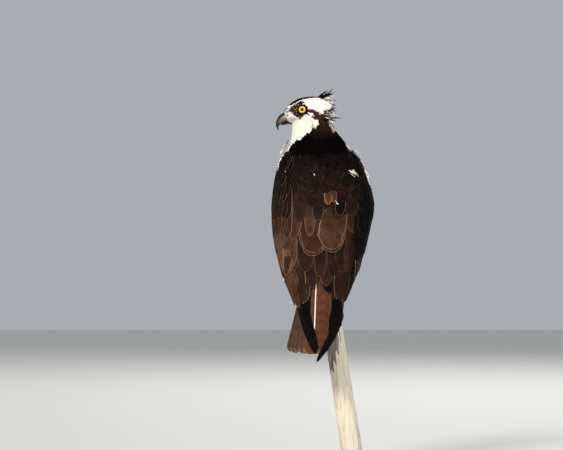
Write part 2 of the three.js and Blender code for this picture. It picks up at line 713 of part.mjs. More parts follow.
const perchRoom = perchForm(gap);
for (const [name, side] of [["left", -1], ["right", 1]]) {
  addNode(`thigh_${name}`, thighForm(side, 0).subtract(torsoRoom), "whiteFeather");
  let foot = footForm(side).subtract(perchRoom).subtract(torsoRoom).subtract(thighForm(side, gap));
  for (const angle of toeAngles) foot = foot.subtract(clawForm(side, angle, gap));
  addNode(`foot_${name}`, foot, "scale");
  toeAngles.forEach((angle, k) => {
    addNode(`claw_${name}_${k + 1}`, clawForm(side, angle).subtract(perchRoom), "horn");
  });
}

addNode("perch", perchForm(0), "deadWood");

const foot = perchAt(perch.bottom);
const rodLength = perch.bottom - gap - base.height - gap;
const rodGeometry = new THREE.CylinderGeometry(rod.radius, rod.radius, rodLength, 24);
rodGeometry.rotateX(Math.PI / 2);
rodGeometry.translate(foot.x, foot.y, base.height + gap + rodLength / 2);
addNode("stand_rod", solid(rodGeometry), "rod");

const half = base.height;
const profile = [
  [0, 0],
  [base.radius, 0],
  [base.radius, half - base.edge],
  [base.radius - base.edge, half],
  [0, half],
].map(([r, z]) => new THREE.Vector2(r, z));
const baseGeometry = new THREE.LatheGeometry(profile, 48);
baseGeometry.rotateX(Math.PI / 2);
addNode("stand_base", outward(mergeVertices(baseGeometry.deleteAttribute("normal").deleteAttribute("uv"))), "standWood");

export default group;
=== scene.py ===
import math
import bpy
import numpy as np
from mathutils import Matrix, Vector


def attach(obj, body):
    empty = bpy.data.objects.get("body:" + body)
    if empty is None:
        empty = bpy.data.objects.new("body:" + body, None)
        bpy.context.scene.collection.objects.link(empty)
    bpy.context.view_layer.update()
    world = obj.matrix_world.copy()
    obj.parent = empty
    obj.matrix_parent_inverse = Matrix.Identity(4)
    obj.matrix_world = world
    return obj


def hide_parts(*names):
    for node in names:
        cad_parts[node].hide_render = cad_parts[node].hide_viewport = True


# An osprey seen from behind on a dead branch. Shapes are worked out in millimetres and made in metres.
# +X is the bird's right, +Y the way its breast faces, +Z up; the head is turned to face -X.
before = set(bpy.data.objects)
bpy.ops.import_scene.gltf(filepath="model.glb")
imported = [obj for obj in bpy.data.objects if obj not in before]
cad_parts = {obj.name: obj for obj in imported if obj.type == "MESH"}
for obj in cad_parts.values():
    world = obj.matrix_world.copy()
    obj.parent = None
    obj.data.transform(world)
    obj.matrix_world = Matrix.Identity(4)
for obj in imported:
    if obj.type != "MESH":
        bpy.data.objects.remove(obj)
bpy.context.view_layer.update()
rng = np.random.default_rng(41)
sides = {"left": -1, "right": 1}

# Outline of the folded wings: height, middle, half width, and Y of the back, the widest point and the front
shellRows = [
    [664, -28, 54, 16, 46, 88], [640, -24.5, 71, 4, 46, 100], [612, -22, 84, -10, 42, 109],
    [575, -20, 94.5, -27, 34, 113], [530, -18, 101, -47, 21, 110], [485, -21.5, 96.5, -63, 7, 97],
    [440, -23.5, 88, -78, -10, 74], [400, -25, 76, -91, -31, 42], [366, -25.5, 63.5, -102, -55, 8],
    [335, -26, 50, -112, -78, -34], [300, -24, 38, -123, -98, -72], [262, -24, 26, -135, -118, -100],
    [226, -26, 14, -147, -136, -124],
]
# The body under the wings, from the vent to the top of the neck, in the same columns
trunkRows = [
    [300, -33, 13, -101, -95, -84], [320, -31, 24, -99, -88, -68], [348, -29, 36, -93, -78, -52],
    [378, -27, 48, -86, -64, -34], [408, -25, 60, -78, -42, -6], [442, -24, 74, -67, -14, 52],
    [485, -22, 84, -53, 7, 98], [530, -21, 87, -39, 21, 110], [575, -21, 83, -21, 34, 113],
    [612, -22, 76, -7, 42, 109], [640, -25, 66, 5, 46, 100], [664, -30, 52, 12, 46, 90],
    [684, -36.5, 43, 13, 45, 80], [702, -40.5, 39.5, 13, 43, 74], [720, -44, 32, 17, 43, 69],
]
# Upright sections of the head: X, bottom, top and half width
headRows = [
    [-3, 704, 734, 8], [-10, 693, 744, 20], [-22, 687, 749.5, 27.5], [-38, 685, 751, 30.5],
    [-54, 688, 750, 29.5], [-68, 692.5, 746.5, 25], [-80, 696, 740, 18.5], [-88, 699, 734, 13.5],
]
wingRows = [[636, 52, 100], [618, 32, 118], [590, 12, 126], [555, 3.2, 126], [500, 2, 122], [450, 2.4, 117],
            [410, 6, 110], [373, 20, 103]]
headPlane = 43
# power of sine and cosine that squares off a ring a little
squareness = 0.9
# lower end and height of the body's map
mapLow, mapHeight = 295, 470
eye = {"x": -58.5, "z": 724, "radius": 10.5, "sunk": 7.6, "turn": 8}


# Values of a row table at each height: cubic pieces whose slope at a row is that between its neighbours
def rowsAt(rows, h):
    table = np.array(sorted(rows), float)
    keys, values = table[:, 0], table[:, 1:]
    h = np.asarray(h, float)
    i = np.clip(np.searchsorted(keys, h, side="right") - 1, 0, len(keys) - 2)
    before, after = np.maximum(i - 1, 0), np.minimum(i + 2, len(keys) - 1)
    span = (keys[i + 1] - keys[i])[..., None]
    t = np.clip((h - keys[i])[..., None] / span, 0, 1)
    slopeA = (values[i + 1] - values[before]) / (keys[i + 1] - keys[before])[..., None]
    slopeB = (values[after] - values[i]) / (keys[after] - keys[i])[..., None]
    return (values[i] * (2 * t**3 - 3 * t**2 + 1) + values[i + 1] * (3 * t**2 - 2 * t**3)
            + slopeA * span * (t**3 - 2 * t**2 + t) + slopeB * span * (t**3 - t**2))


# Vectors divided by their length
def unit(v):
    return v / np.maximum(np.linalg.norm(v, axis=-1, keepdims=True), 1e-9)


# Smooth step: t * t * (3 - 2t), with t from 0 at a to 1 at b
def smooth(a, b, x):
    t = np.clip((np.asarray(x, float) - a) / (b - a), 0, 1)
    return t * t * (3 - 2 * t)


# Ring of a row table: x = middle + half width * sin(angle)^0.9, y from the widest line to back or front
# by cos(angle)^0.9; the angle is 0 at mid-back and 90 on the bird's right
def ringPoint(rows, h, angle, grow=0.0):
    h, angle, grow = np.broadcast_arrays(np.asarray(h, float), np.asarray(angle, float),
                                         np.asarray(grow, float))
    mid, half, back, side, front = np.moveaxis(rowsAt(rows, h), -1, 0)
    s, c = np.sin(np.radians(angle)), np.cos(np.radians(angle))
    along = np.abs(c) ** squareness
    y = np.where(c > 0, side + (back - side - grow) * along, side + (front - side + grow) * along)
    return np.stack([mid + (half + grow) * np.sign(s) * np.abs(s) ** squareness, y, h], -1)


# Point of a ring surface moved off it along its normal
def offRing(rows):
    def at(h, angle, off):
        across = ringPoint(rows, h, angle + 2.0) - ringPoint(rows, h, angle - 2.0)
        up = ringPoint(rows, h + 2.0, angle) - ringPoint(rows, h - 2.0, angle)
        return ringPoint(rows, h, angle) + unit(np.cross(across, up)) * np.asarray(off, float)[..., None]
    return at


onShell = offRing(shellRows)
onTrunk = offRing(trunkRows)


# Head: an ellipse at each X, between the rows' bottom and top; the angle is 0 at its right side, 90 on top
def headPoint(x, a, grow=0.0):
    x, a, grow = np.broadcast_arrays(np.asarray(x, float), np.asarray(a, float), np.asarray(grow, float))
    bottom, top, half = np.moveaxis(rowsAt(headRows, x), -1, 0)
    c, s = np.cos(np.radians(a)), np.sin(np.radians(a))
    return np.stack([x, headPlane + (half + grow) * c,
                     (bottom + top) / 2 + ((top - bottom) / 2 + grow) * s], -1)


# Point of the head moved off it along its normal, the cross product of the steps back and round
def onHead(x, a, off):
    around = headPoint(x, a + 2.0) - headPoint(x, a - 2.0)
    back = headPoint(x + 1.5, a) - headPoint(x - 1.5, a)
    return headPoint(x, a) + unit(np.cross(back, around)) * -np.asarray(off, float)[..., None]


# The angle at which the shell passes a given X at height h
def shellAngle(h, x):
    mid, half = np.moveaxis(rowsAt(shellRows, h), -1, 0)[:2]
    s = (np.asarray(x, float) - mid) / half
    return np.degrees(np.arcsin(np.clip(np.abs(s), 0, 1) ** (1 / squareness))) * np.sign(s)


# Colours, as linear light


# Linear light of a screen colour by the usual power curve
def srgb(r, g, b):
    c = np.array([r, g, b], float) / 255
    return np.where(c <= 0.04045, c / 12.92, ((c + 0.055) / 1.055) ** 2.4)


colours = {
    "white": srgb(246, 239, 230), "cream": srgb(247, 233, 210), "black": srgb(8, 6, 6),
    "darkBrown": srgb(29, 18, 14), "brown": srgb(88, 61, 46), "rufous": srgb(84, 51, 34),
    "deepBrown": srgb(50, 30, 21), "tail": srgb(70, 49, 38), "deck": srgb(92, 54, 33),
    "flight": srgb(6, 5, 6), "maskBrown": srgb(64, 41, 30), "neckBrown": srgb(40, 25, 19),
    "edge": srgb(170, 132, 104), "blueGrey": srgb(180, 181, 178),
}


# a + (b - a) * t, colour by colour
def blend(a, b, t):
    t = np.asarray(t, float)[..., None]
    return a * (1 - t) + b * t


# Soft spot of a marking: 1 inside an ellipse about (x, z), falling to 0 outside it
def spot(p, x, z, rx, rz, turn=0.0, soft=0.35):
    c, s = math.cos(math.radians(turn)), math.sin(math.radians(turn))
    dx, dz = p[..., 0] - x, p[..., 2] - z
    r = np.sqrt(((dx * c + dz * s) / rx) ** 2 + ((dz * c - dx * s) / rz) ** 2)
    return 1 - smooth(1 - soft, 1 + soft, r)


# Band between two lines that run along X, with soft edges
def band(x, z, keys, low, high, soft=1.2):
    lower, upper = np.interp(x, keys, low), np.interp(x, keys, high)
    return smooth(lower - soft, lower + soft, z) * (1 - smooth(upper - soft, upper + soft, z))


# Plumage of head, neck and body by place: the side stripe follows the twist of the neck
def plumage(p, noise=0.0):
    x, y, z = np.moveaxis(p, -1, 0)
    noise = noise + 0 * x
    mid, half, back, side, front = np.moveaxis(rowsAt(trunkRows, np.clip(z, 300, 720)), -1, 0)
    depth = np.where(y < side, side - back, front - side)
    angle = np.degrees(np.arctan2((x - mid) / half, -(y - side) / depth))
    forward = 180 + 88 * smooth(644, 700, z)
    rel = np.abs((angle - forward + 180) % 360 - 180)
    limit = np.interp(z, [560, 612, 631, 646, 655, 674, 700],
                      [104, 98, 102, 111, 109, 101, 101]) + 4 * noise
    dark = smooth(limit - 2, limit + 2, rel)
    upper = blend(colours["darkBrown"], colours["black"], smooth(575, 640, z))
    upper = blend(upper, colours["neckBrown"] + 0 * upper, smooth(664, 694, z))
    body = blend(colours["white"] + 0 * upper, upper, dark)
    body = blend(body, colours["cream"] + 0 * upper, 0.5 * (1 - dark) * smooth(640, 690, z))
    # brown flecks over the breast
    fleck = smooth(560, 585, z) * (1 - smooth(620, 640, z)) * (1 - dark) * (rel < 70)
    body = blend(body, colours["brown"] + 0 * upper, 0.5 * fleck * (noise > 0.45))
    # head: stripe behind the eye, dark patch before it, dark band from the bill over the brow along the crown
    lateral = np.abs(y - headPlane)
    below = rowsAt(headRows, np.clip(x, -88, -3))[..., 1] - z
    white, cream = colours["white"] + 0 * upper, colours["cream"] + 0 * upper
    face = blend(white, cream, 1 - smooth(690, 716, z))
    stripe = band(x, z + 1.8 * noise, [-54, -50, -45, -38, -31, -27, -24, -16, -8, 5],
                  [720, 714.5, 711, 705.5, 699, 690, 640, 640, 640, 640],
                  [724, 726, 727, 725, 720, 717, 716.5, 718, 717, 700], 0.8)
    stripe = stripe * (spot(p, -46.5, 717.5, 6.5, 2.6, -10, 0.1) < 0.5)
    stripe = stripe * (1 - (x < -40) * (np.abs(noise) > 0.72))
    ring = 1.0 * (np.hypot(x - eye["x"], z - eye["z"]) < 11.5)
    lore = band(x, z + 1.2 * noise, [-86, -84, -78, -70, -63, -61], [724, 720, 714, 708, 704, 710],
                [724, 729, 733, 738, 741, 738], 0.8) * (x > -86) * (x < -61)
    brow = 1.0 * (below < np.interp(x, [-88, -86, -84, -78, -72, -60, -50, -20, -16],
                                    [0, 3, 5.2, 5.4, 5, 3.6, 2.6, 1.6, 0]))
    brow = np.maximum(brow * (noise > -0.94),
                      (spot(p, -63, 739.5, 7.5, 2.4, 10, 0.1) > 0.5) * (noise > -0.2))
    # the grey-white patch on the nape is painted shade over the white feathers
    nape = spot(p, -2, 696, 15, 5.5, -62) * (1 - smooth(14, 20, lateral)) * (noise > -0.7)
    napeLine = (spot(p, -11, 691, 15, 2.4, -58, 0.1) > 0.5) * (1 - smooth(14, 22, lateral))
    skinGrey = spot(p, -79, 704.8, 10, 4.2, -8) * smooth(3, 8, lateral)
    loreTone = blend(srgb(54, 38, 29) + 0 * upper, srgb(136, 118, 98) + 0 * upper, (noise > 0.5) + 0 * x)
    stripeTone = blend(colours["neckBrown"], colours["maskBrown"] + 0 * upper, smooth(690, 708, z))
    face = blend(face, stripeTone, np.clip(stripe, 0, 1) * smooth(2, 8, lateral))
    face = blend(face, loreTone, np.clip(lore, 0, 1) * smooth(4, 8, lateral))
    face = blend(face, colours["darkBrown"] + 0 * upper, brow)
    face = blend(face, colours["black"] + 0 * upper, ring * smooth(8, 12, lateral))
    # dark streaks at the back of the head
    streaks = np.maximum((spot(p, -10, 722.5, 12, 2.6, -4, 0.1) > 0.5) * (noise > -0.75),
                         1.0 * (spot(p, -8, 711, 12, 1.9, -12, 0.1) > 0.5))
    face = blend(face, colours["darkBrown"] + 0 * upper, streaks * smooth(2, 6, lateral))
    face = blend(face, colours["blueGrey"] + 0 * upper, 0.9 * skinGrey)
    face = blend(face, srgb(150, 104, 86) + 0 * upper,
                 0.55 * spot(p, -79, 698.8, 7, 1.3, 4) * smooth(3, 8, lateral))
    onFace = smooth(688, 697, z + 0.16 * (x + 38))
    # painted shade on the nape
    whole = blend(blend(body, face, onFace), srgb(214, 206, 196) + 0 * upper,
                  0.95 * nape * smooth(670, 680, z))
    return blend(whole, colours["black"] + 0 * upper, napeLine)


# Materials


# A material with its shader, and short ways to add a node and to link to the shader
def nodeTool(name):
    material = bpy.data.materials.new(name)
    material.use_nodes = True
    tree = material.node_tree
    shader = tree.nodes["Principled BSDF"]

    def node(kind, inputs=None, **settings):
        made = tree.nodes.new("ShaderNode" + kind)
        for key, value in settings.items():
            setattr(made, key, value)
        for key, value in (inputs or {}).items():
            if isinstance(value, bpy.types.NodeSocket):
                tree.links.new(value, made.inputs[key])
            else:
                made.inputs[key].default_value = value
        return made

    def link(value, target):
        tree.links.new(value, shader.inputs[target])
    return material, shader, node, link


# Colour with its alpha as plain numbers
def rgba(c):
    return (float(c[0]), float(c[1]), float(c[2]), 1.0)


# Node that carries a value from one range to another: toLow + (toHigh - toLow) * its share of the first
def ranged(node, value, fromLow, fromHigh, toLow, toHigh, **settings):
    return node("MapRange", {"Value": value, "From Min": fromLow, "From Max": fromHigh, "To Min": toLow,
                             "To Max": toHigh}, **settings)


# Node that mixes two colours: a * (1 - factor) + b * factor
def mixed(node, factor, a, b):
    return node("Mix", {"Factor": factor, "A": a, "B": b}, data_type="RGBA")


# Node that gives a * b
def times(node, a, b):
    return node("Math", {0: a, 1: b}, operation="MULTIPLY")


# Feathers: the vane attribute holds the distances to the shaft and to the rim and the place along the barbs
def featherMaterial(name, barbDepth=0.35, edgeWidth=0.9, shaft=0.25, margin=0.0, streak=0.1, patch=90.0,
                    uneven=0.2, specular=0.07):
    material, shader, node, link = nodeTool(name)
    shader.inputs["Roughness"].default_value = 0.6
    shader.inputs["Specular IOR Level"].default_value = specular
    vane = node("Attribute", attribute_name="vane")
    tint = node("Attribute", attribute_name="tint")
    parts = node("SeparateXYZ", {0: vane.outputs["Vector"]})
    place = node("TexCoord")
    patchy = node("TexNoise", {"Vector": place.outputs["Object"], "Scale": patch, "Detail": 4.0,
                               "Roughness": 0.6})
    barbs = times(node, parts.outputs[2], 5.2)
    wave = node("Math", {0: barbs.outputs[0]}, operation="SINE")
    frayed = node("TexNoise", {"Vector": place.outputs["Object"], "Scale": 700.0, "Detail": 2.0})
    rimPlace = node("MapRange", {"Value": frayed.outputs["Fac"], "To Min": -0.6, "To Max": 0.6})
    rim = node("Math", {0: parts.outputs[1], 1: rimPlace.outputs[0]}, operation="ADD")
    edge = ranged(node, rim.outputs[0], edgeWidth * 0.55, edgeWidth * 1.25, 1.0, 0.0,
                  interpolation_type="SMOOTHSTEP")
    edgeOn = times(node, edge.outputs[0], tint.outputs["Alpha"])
    tone = ranged(node, patchy.outputs["Fac"], 0.3, 0.7, 1 - uneven, 1 + uneven)
    ridge = ranged(node, wave.outputs[0], -1.0, 1.0, 0.93, 1.05)
    shift = times(node, patchy.outputs["Fac"], 9.0)
    streakPlace = node("CombineXYZ", {0: parts.outputs[0], 1: parts.outputs[2], 2: shift.outputs[0]})
    stretched = node("VectorMath", {0: streakPlace.outputs[0], 1: (0.85, 0.07, 1.0)}, operation="MULTIPLY")
    streaks = node("TexNoise", {"Vector": stretched.outputs[0], "Scale": 1.0, "Detail": 3.0,
                                "Roughness": 0.7})
    streakTone = ranged(node, streaks.outputs["Fac"], 0.3, 0.7, 1 - streak, 1 + streak)
    both = times(node, tone.outputs[0], ridge.outputs[0])
    both = times(node, both.outputs[0], streakTone.outputs[0])
    base = node("VectorMath", {0: tint.outputs["Color"], "Scale": both.outputs[0]}, operation="SCALE")
    paler = ranged(node, rim.outputs[0], 0.0, 6.0, margin, 0.0, interpolation_type="SMOOTHSTEP")
    wearAndLight = node("VectorMath", {0: base.outputs[0], "Scale": 1.7}, operation="SCALE")
    base = mixed(node, paler.outputs[0], base.outputs[0], wearAndLight.outputs[0])
    shaftLine = ranged(node, parts.outputs[0], 0.2, 0.55, shaft, 0.0, interpolation_type="SMOOTHSTEP")
    dark = mixed(node, shaftLine.outputs[0], base.outputs["Result"], rgba(srgb(12, 9, 8)))
    final = mixed(node, edgeOn.outputs[0], dark.outputs["Result"], rgba(colours["edge"]))
    link(final.outputs["Result"], "Base Color")
    height = node("Math", {0: wave.outputs[0], 1: shaftLine.outputs[0]}, operation="ADD")
    bump = node("Bump", {"Height": height.outputs[0], "Strength": barbDepth, "Distance": 0.0003})
    link(bump.outputs["Normal"], "Normal")
    return material


# Makes a mesh piece in metres from points in millimetres, with its attributes and the baking map
def makePiece(name, points, faces, material, replaced=(), tint=None, vane=None, uv=None):
    mesh = bpy.data.meshes.new(name)
    mesh.from_pydata((np.asarray(points) * 0.001).tolist(), [],
                     faces if isinstance(faces, list) else faces.tolist())
    loops = np.empty(len(mesh.loops), int)
    mesh.loops.foreach_get("vertex_index", loops)
    if uv is not None:
        layer = mesh.uv_layers.new(name="OFBake")
        layer.data.foreach_set("uv", np.asarray(uv, float)[loops].ravel())
    if tint is not None:
        tint = np.asarray(tint, float)
        if tint.shape[-1] == 3:
            tint = np.concatenate([tint, np.zeros(tint.shape[:-1] + (1,))], -1)
        mesh.color_attributes.new("tint", "FLOAT_COLOR", "POINT").data.foreach_set("color", tint.ravel())
    if vane is not None:
        held = mesh.attributes.new("vane", "FLOAT_VECTOR", "POINT")
        held.data.foreach_set("vector", np.asarray(vane).ravel())
    mesh.polygons.foreach_set("use_smooth", np.full(len(mesh.polygons), True))
    mesh.materials.append(material)
    mesh.update()
    piece = bpy.data.objects.new(name, mesh)
    bpy.context.scene.collection.objects.link(piece)
    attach(piece, "root")
    if replaced:
        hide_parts(*replaced)
    return piece


# Quads of a grid of points; closed joins the last column to the first
def gridQuads(rows, cols, closed=False):
    index = np.arange(rows * cols).reshape(rows, cols)
    if closed:
        index = np.concatenate([index, index[:, :1]], 1)
    return np.stack([index[:-1, :-1], index[:-1, 1:], index[1:, 1:], index[1:, :-1]], -1).reshape(-1, 4)


# Turns all faces of closed shells outwards by the sign of their volume
def outward(points, faces):
    p = np.asarray(points)
    quad = np.asarray(faces)
    volume = 0.0
    for k in range(1, quad.shape[1] - 1):
        a, b, c = p[quad[:, 0]], p[quad[:, k]], p[quad[:, k + 1]]
        volume += np.einsum("ij,ij->i", a, np.cross(b, c)).sum()
    return faces if volume > 0 else quad[:, ::-1]


# Closed tube from rings (rows, columns, 3): the end rings are drawn to their centres
def closedRings(rings):
    rows, cols = rings.shape[:2]
    ends = [rings[0].mean(0, keepdims=True), rings[-1].mean(0, keepdims=True)]
    points = np.concatenate([ends[0], rings.reshape(-1, 3), ends[1]])
    quads = gridQuads(rows, cols, True) + 1
    j = np.arange(cols)
    k = (j + 1) % cols
    last = 1 + (rows - 1) * cols
    caps = np.concatenate([np.stack([np.zeros(cols, int), k + 1, j + 1], -1),
                           np.stack([np.full(cols, len(points) - 1), last + j, last + k], -1)])
    volumeFaces = np.concatenate([np.concatenate([caps, caps[:, 2:]], 1), quads])
    if outward(points, volumeFaces) is not volumeFaces:
        caps, quads = caps[:, ::-1], quads[:, ::-1]
    grid = np.stack(np.meshgrid(np.linspace(0, 1, cols), np.linspace(0, 1, rows)), -1).reshape(-1, 2)
    uv = np.concatenate([[[0.5, 0.0]], grid * 0.9 + 0.05, [[0.5, 1.0]]])
    return points, caps.tolist() + quads.tolist(), uv


# Closed parts put into one mesh: face numbers move on by the points before them, maps get a cell each
def joined(parts):
    points, faces, uvs, start = [], [], [], 0
    for k, (p, f, uv) in enumerate(parts):
        points.append(p)
        faces.extend([[i + start for i in face] for face in f])
        uvs.append((uv + [k % 4, k // 4]) / 4)
        start += len(p)
    return np.concatenate(points), faces, np.concatenate(uvs)


# Feather vanes. Each is two grids of points that share their border, so it is a thin closed lens.
# Width: grows from the root to full at 0.4 of the length and ends in a rounded tip.
stationSets = {
    "fine": np.array([0, 0.14, 0.28, 0.42, 0.56, 0.68, 0.78, 0.86, 0.92, 0.96, 0.985, 1.0]),
    "medium": np.array([0, 0.22, 0.45, 0.65, 0.8, 0.9, 0.965, 1.0]),
    "small": np.array([0, 0.4, 0.75, 0.93, 1.0]),
}


# Half width at each station: half * growth from the root * (1 - end^power)^0.5 towards the tip
def vaneWidths(s, half, rootShare, tipFrom, tipPower, tipShare):
    root = rootShare + (1 - rootShare) * smooth(0, 0.4, s)
    end = np.clip((s - tipFrom) / (1 - tipFrom), 0, 1)
    tip = tipShare + (1 - tipShare) * (1 - end**tipPower) ** (1 / 2.0)
    return half[:, None] * (root * tip)[None]


# Quads of a vane: the upper grid, and a lower one that shares the upper one's border
def vaneIndex(rows, cols):
    upper = np.arange(rows * cols).reshape(rows, cols)
    lower = upper.copy()
    lower[1:-1, 1:-1] = np.arange((rows - 2) * (cols - 2)).reshape(rows - 2, cols - 2) + rows * cols
    quads = [np.stack([g[:-1, :-1], g[1:, :-1], g[1:, 1:], g[:-1, 1:]], -1).reshape(-1, 4)
             for g in (upper, lower)]
    return np.concatenate([quads[0], quads[1][:, ::-1]]), rows * cols + (rows - 2) * (cols - 2)


# Vanes over a surface at(u, v, off), from root to tip in its two parameters. Every point is placed on the
# surface, so a vane hugs it; lift is the height over it at the root and the tip, roll tilts it like a tile
def vanes(at, root, tip, half, lift, roll=0.0, thick=0.5, detail="medium", cols=3, tint=None, edge=0.0,
          rootShare=0.75, tipFrom=0.62, tipPower=2.2, tipShare=0.06, rough=0.05, crown=0.5, curl=0.0,
          rootShade=(0.7, 1.12)):
    s = stationSets[detail]
    q = np.linspace(-1, 1, cols)
    n = len(root)
    root, tip = np.asarray(root, float), np.asarray(tip, float)
    half = np.broadcast_to(np.asarray(half, float), (n,))
    d = tip - root
    u = root[:, None, 0] + d[:, None, 0] * s
    v = root[:, None, 1] + d[:, None, 1] * s
    zero = np.zeros_like(u)
    step = 0.05
    eu = (at(u + step, v, zero) - at(u - step, v, zero)) / (2 * step)
    ev = (at(u, v + step, zero) - at(u, v - step, zero)) / (2 * step)
    normal = unit(at(u, v, zero + 1) - at(u, v, zero))
    along = unit(eu * d[:, None, :1] + ev * d[:, None, 1:])
    side = np.cross(normal, along)
    uu, uv2, vv = [np.einsum("nsk,nsk->ns", a, b) for a, b in ((eu, eu), (eu, ev), (ev, ev))]
    su, sv = [np.einsum("nsk,nsk->ns", side, a) for a in (eu, ev)]
    det = np.maximum(uu * vv - uv2**2, 1e-9)
    gu, gv = (su * vv - sv * uv2) / det, (sv * uu - su * uv2) / det
    width = vaneWidths(s, half, rootShare, tipFrom, tipPower, tipShare)
    jitter = 1 + rough * rng.standard_normal((n, len(s), 2)) * smooth(0.3, 0.6, s)[None, :, None]
    across = width[..., None] * q * np.where(q < 0, jitter[..., :1], jitter[..., 1:])
    liftA, liftB = [np.broadcast_to(np.asarray(x, float), (n,)) for x in lift]
    height = liftA[:, None] + (liftB - liftA)[:, None] * smooth(0, 0.7, s)
    height = height + np.asarray(curl, float).reshape(-1, 1) * smooth(0.5, 1, s)
    roll = np.broadcast_to(np.asarray(roll, float), (n,))
    bow = height[..., None] + roll[:, None, None] * q + crown * (1 - q**2)
    pu, pv = u[..., None] + gu[..., None] * across, v[..., None] + gv[..., None] * across
    top = at(pu, pv, bow)
    low = at(pu[:, 1:-1, 1:-1], pv[:, 1:-1, 1:-1], bow[:, 1:-1, 1:-1] - thick)
    length = np.linalg.norm(at(*tip.T, 0 * half) - at(*root.T, 0 * half), axis=-1)
    return vaneArrays(top, low, across, width, length, s, q, tint, edge, rootShade)


# Vanes that stand free: root, direction and up vector of each, bending towards bend by the square of s
def freeVanes(root, way, up, length, half, bend, thick=0.5, detail="medium", cols=3, tint=None, edge=0.0,
              rootShare=0.7, tipFrom=0.5, tipPower=1.7, tipShare=0.05, rough=0.05, crown=0.3,
              rootShade=(0.85, 1.03)):
    s = stationSets[detail]
    q = np.linspace(-1, 1, cols)
    n = len(root)
    way, up = unit(np.asarray(way, float)), np.asarray(up, float)
    side = unit(np.cross(up, way))
    up = np.cross(way, side)
    length = np.broadcast_to(np.asarray(length, float), (n,))
    half = np.broadcast_to(np.asarray(half, float), (n,))
    bent = np.asarray(bend, float)[:, None] * (s**2)[None, :, None]
    spine = root[:, None] + way[:, None] * (length[:, None] * s)[..., None] + bent
    width = vaneWidths(s, half, rootShare, tipFrom, tipPower, tipShare)
    jitter = 1 + rough * rng.standard_normal((n, len(s), 2))
    across = width[..., None] * q * np.where(q < 0, jitter[..., :1], jitter[..., 1:])
    rise = (crown * (1 - q**2))[None, None, :, None]
    top = spine[:, :, None] + side[:, None, None] * across[..., None] + up[:, None, None] * rise
    low = (top - up[:, None, None] * thick)[:, 1:-1, 1:-1]
    return vaneArrays(top, low, across, width, length, s, q, tint, edge, rootShade)


# Mesh data of vanes: distance to shaft = |across|, to rim = the nearer of side and tip, and barbs at a slant
def vaneArrays(top, low, across, width, length, s, q, tint, edge, rootShade):
    n, rows, cols = top.shape[:3]
    quads, count = vaneIndex(rows, cols)
    points = np.concatenate([top.reshape(n, -1, 3), low.reshape(n, -1, 3)], 1)
    rim = np.minimum((1 - np.abs(q)) * width[..., None], ((1 - s) * length[:, None])[..., None] * 0.8)
    barb = (s * length[:, None])[..., None] - 0.75 * np.abs(across)
    vane = np.stack([np.abs(across), rim, barb], -1)

    def spread(a):
        under = a[:, 1:-1, 1:-1].reshape(n, (rows - 2) * (cols - 2), -1)
        return np.concatenate([a.reshape(n, rows * cols, -1), under], 1)

    tint = np.asarray(tint, float)
    if tint.ndim == 1:
        tint = np.broadcast_to(tint, (n, 3))
    if tint.ndim == 2:
        tint = np.broadcast_to(tint[:, None, None], (n, rows, cols, 3))
    # painted shade: the tint is darker at the root, where the feather above covers it, and paler towards the
    # tip
    tint = tint * (rootShade[0] + (rootShade[1] - rootShade[0]) * s)[None, :, None, None]
    edge = np.broadcast_to(np.broadcast_to(np.asarray(edge, float), (n,))[:, None, None, None],
                           (n, rows, cols, 1))
    tint = spread(np.concatenate([tint, edge], -1))
    local = spread(np.broadcast_to(np.stack(np.meshgrid((q + 1) / 2, s), -1)[None], (n, rows, cols, 2)))
    faces = (quads[None] + (np.arange(n) * count)[:, None, None]).reshape(-1, 4)
    return {"points": points, "faces": faces, "vane": spread(vane), "tint": tint, "local": local, "n": n}


# Joins sets of vanes into one piece; each vane gets a cell of its own, or a small patch at its root's place
def featherPiece(name, sets, material, replaced=(), places=None):
    points = np.concatenate([a["points"].reshape(-1, 3) for a in sets])
    offsets = np.cumsum([0] + [a["points"].shape[0] * a["points"].shape[1] for a in sets])
    faces = np.concatenate([a["faces"] + o for a, o in zip(sets, offsets)])
    total = sum(a["n"] for a in sets)
    if places is None:
        cells = math.ceil(math.sqrt(total))
        start, uvs = 0, []
        for a in sets:
            k = np.arange(start, start + a["n"])
            corner = np.stack([k % cells, k // cells], -1) / cells
            uvs.append((corner[:, None] + (a["local"] * 0.86 + 0.07) / cells).reshape(-1, 2))
            start += a["n"]
    else:
        uvs = [(p[:, None] + (a["local"] - 0.5) * 0.003).reshape(-1, 2) for a, p in zip(sets, places)]
    tint = np.concatenate([a["tint"].reshape(-1, 4) for a in sets])
    vane = np.concatenate([a["vane"].reshape(-1, 3) for a in sets])
    piece = makePiece(name, points, faces, material, replaced, tint, vane, np.concatenate(uvs))
    # every rim is a sharp edge, so that a vane is shaded as a thin flat sheet
    onRim = vane[:, 1] < 1e-6
    ends = np.empty(len(piece.data.edges) * 2, int)
    piece.data.edges.foreach_get("vertices", ends)
    sharp = onRim[ends.reshape(-1, 2)].all(-1)
    piece.data.attributes.new("sharp_edge", "BOOLEAN", "EDGE").data.foreach_set("value", sharp)
    print("stage:", name, total, "feathers", len(faces) * 2, "triangles")


featherMat = featherMaterial("wingFeather", 0.25, 0.9, 0.35, 0.5, 0.28, 42.0, 0.42, 0.04)
flightMat = featherMaterial("flightFeather", 0.3, 0.7, 0.5, specular=0.03)
coatMat = featherMaterial("coatFeather", 0.2, 0.6, 0.04, 0.0, 0.05, 90.0, 0.05, 0.0)


# Skin under the coat, one closed surface from throat to vent
skin = {"inside": 1.7, "voxel": 0.0032}


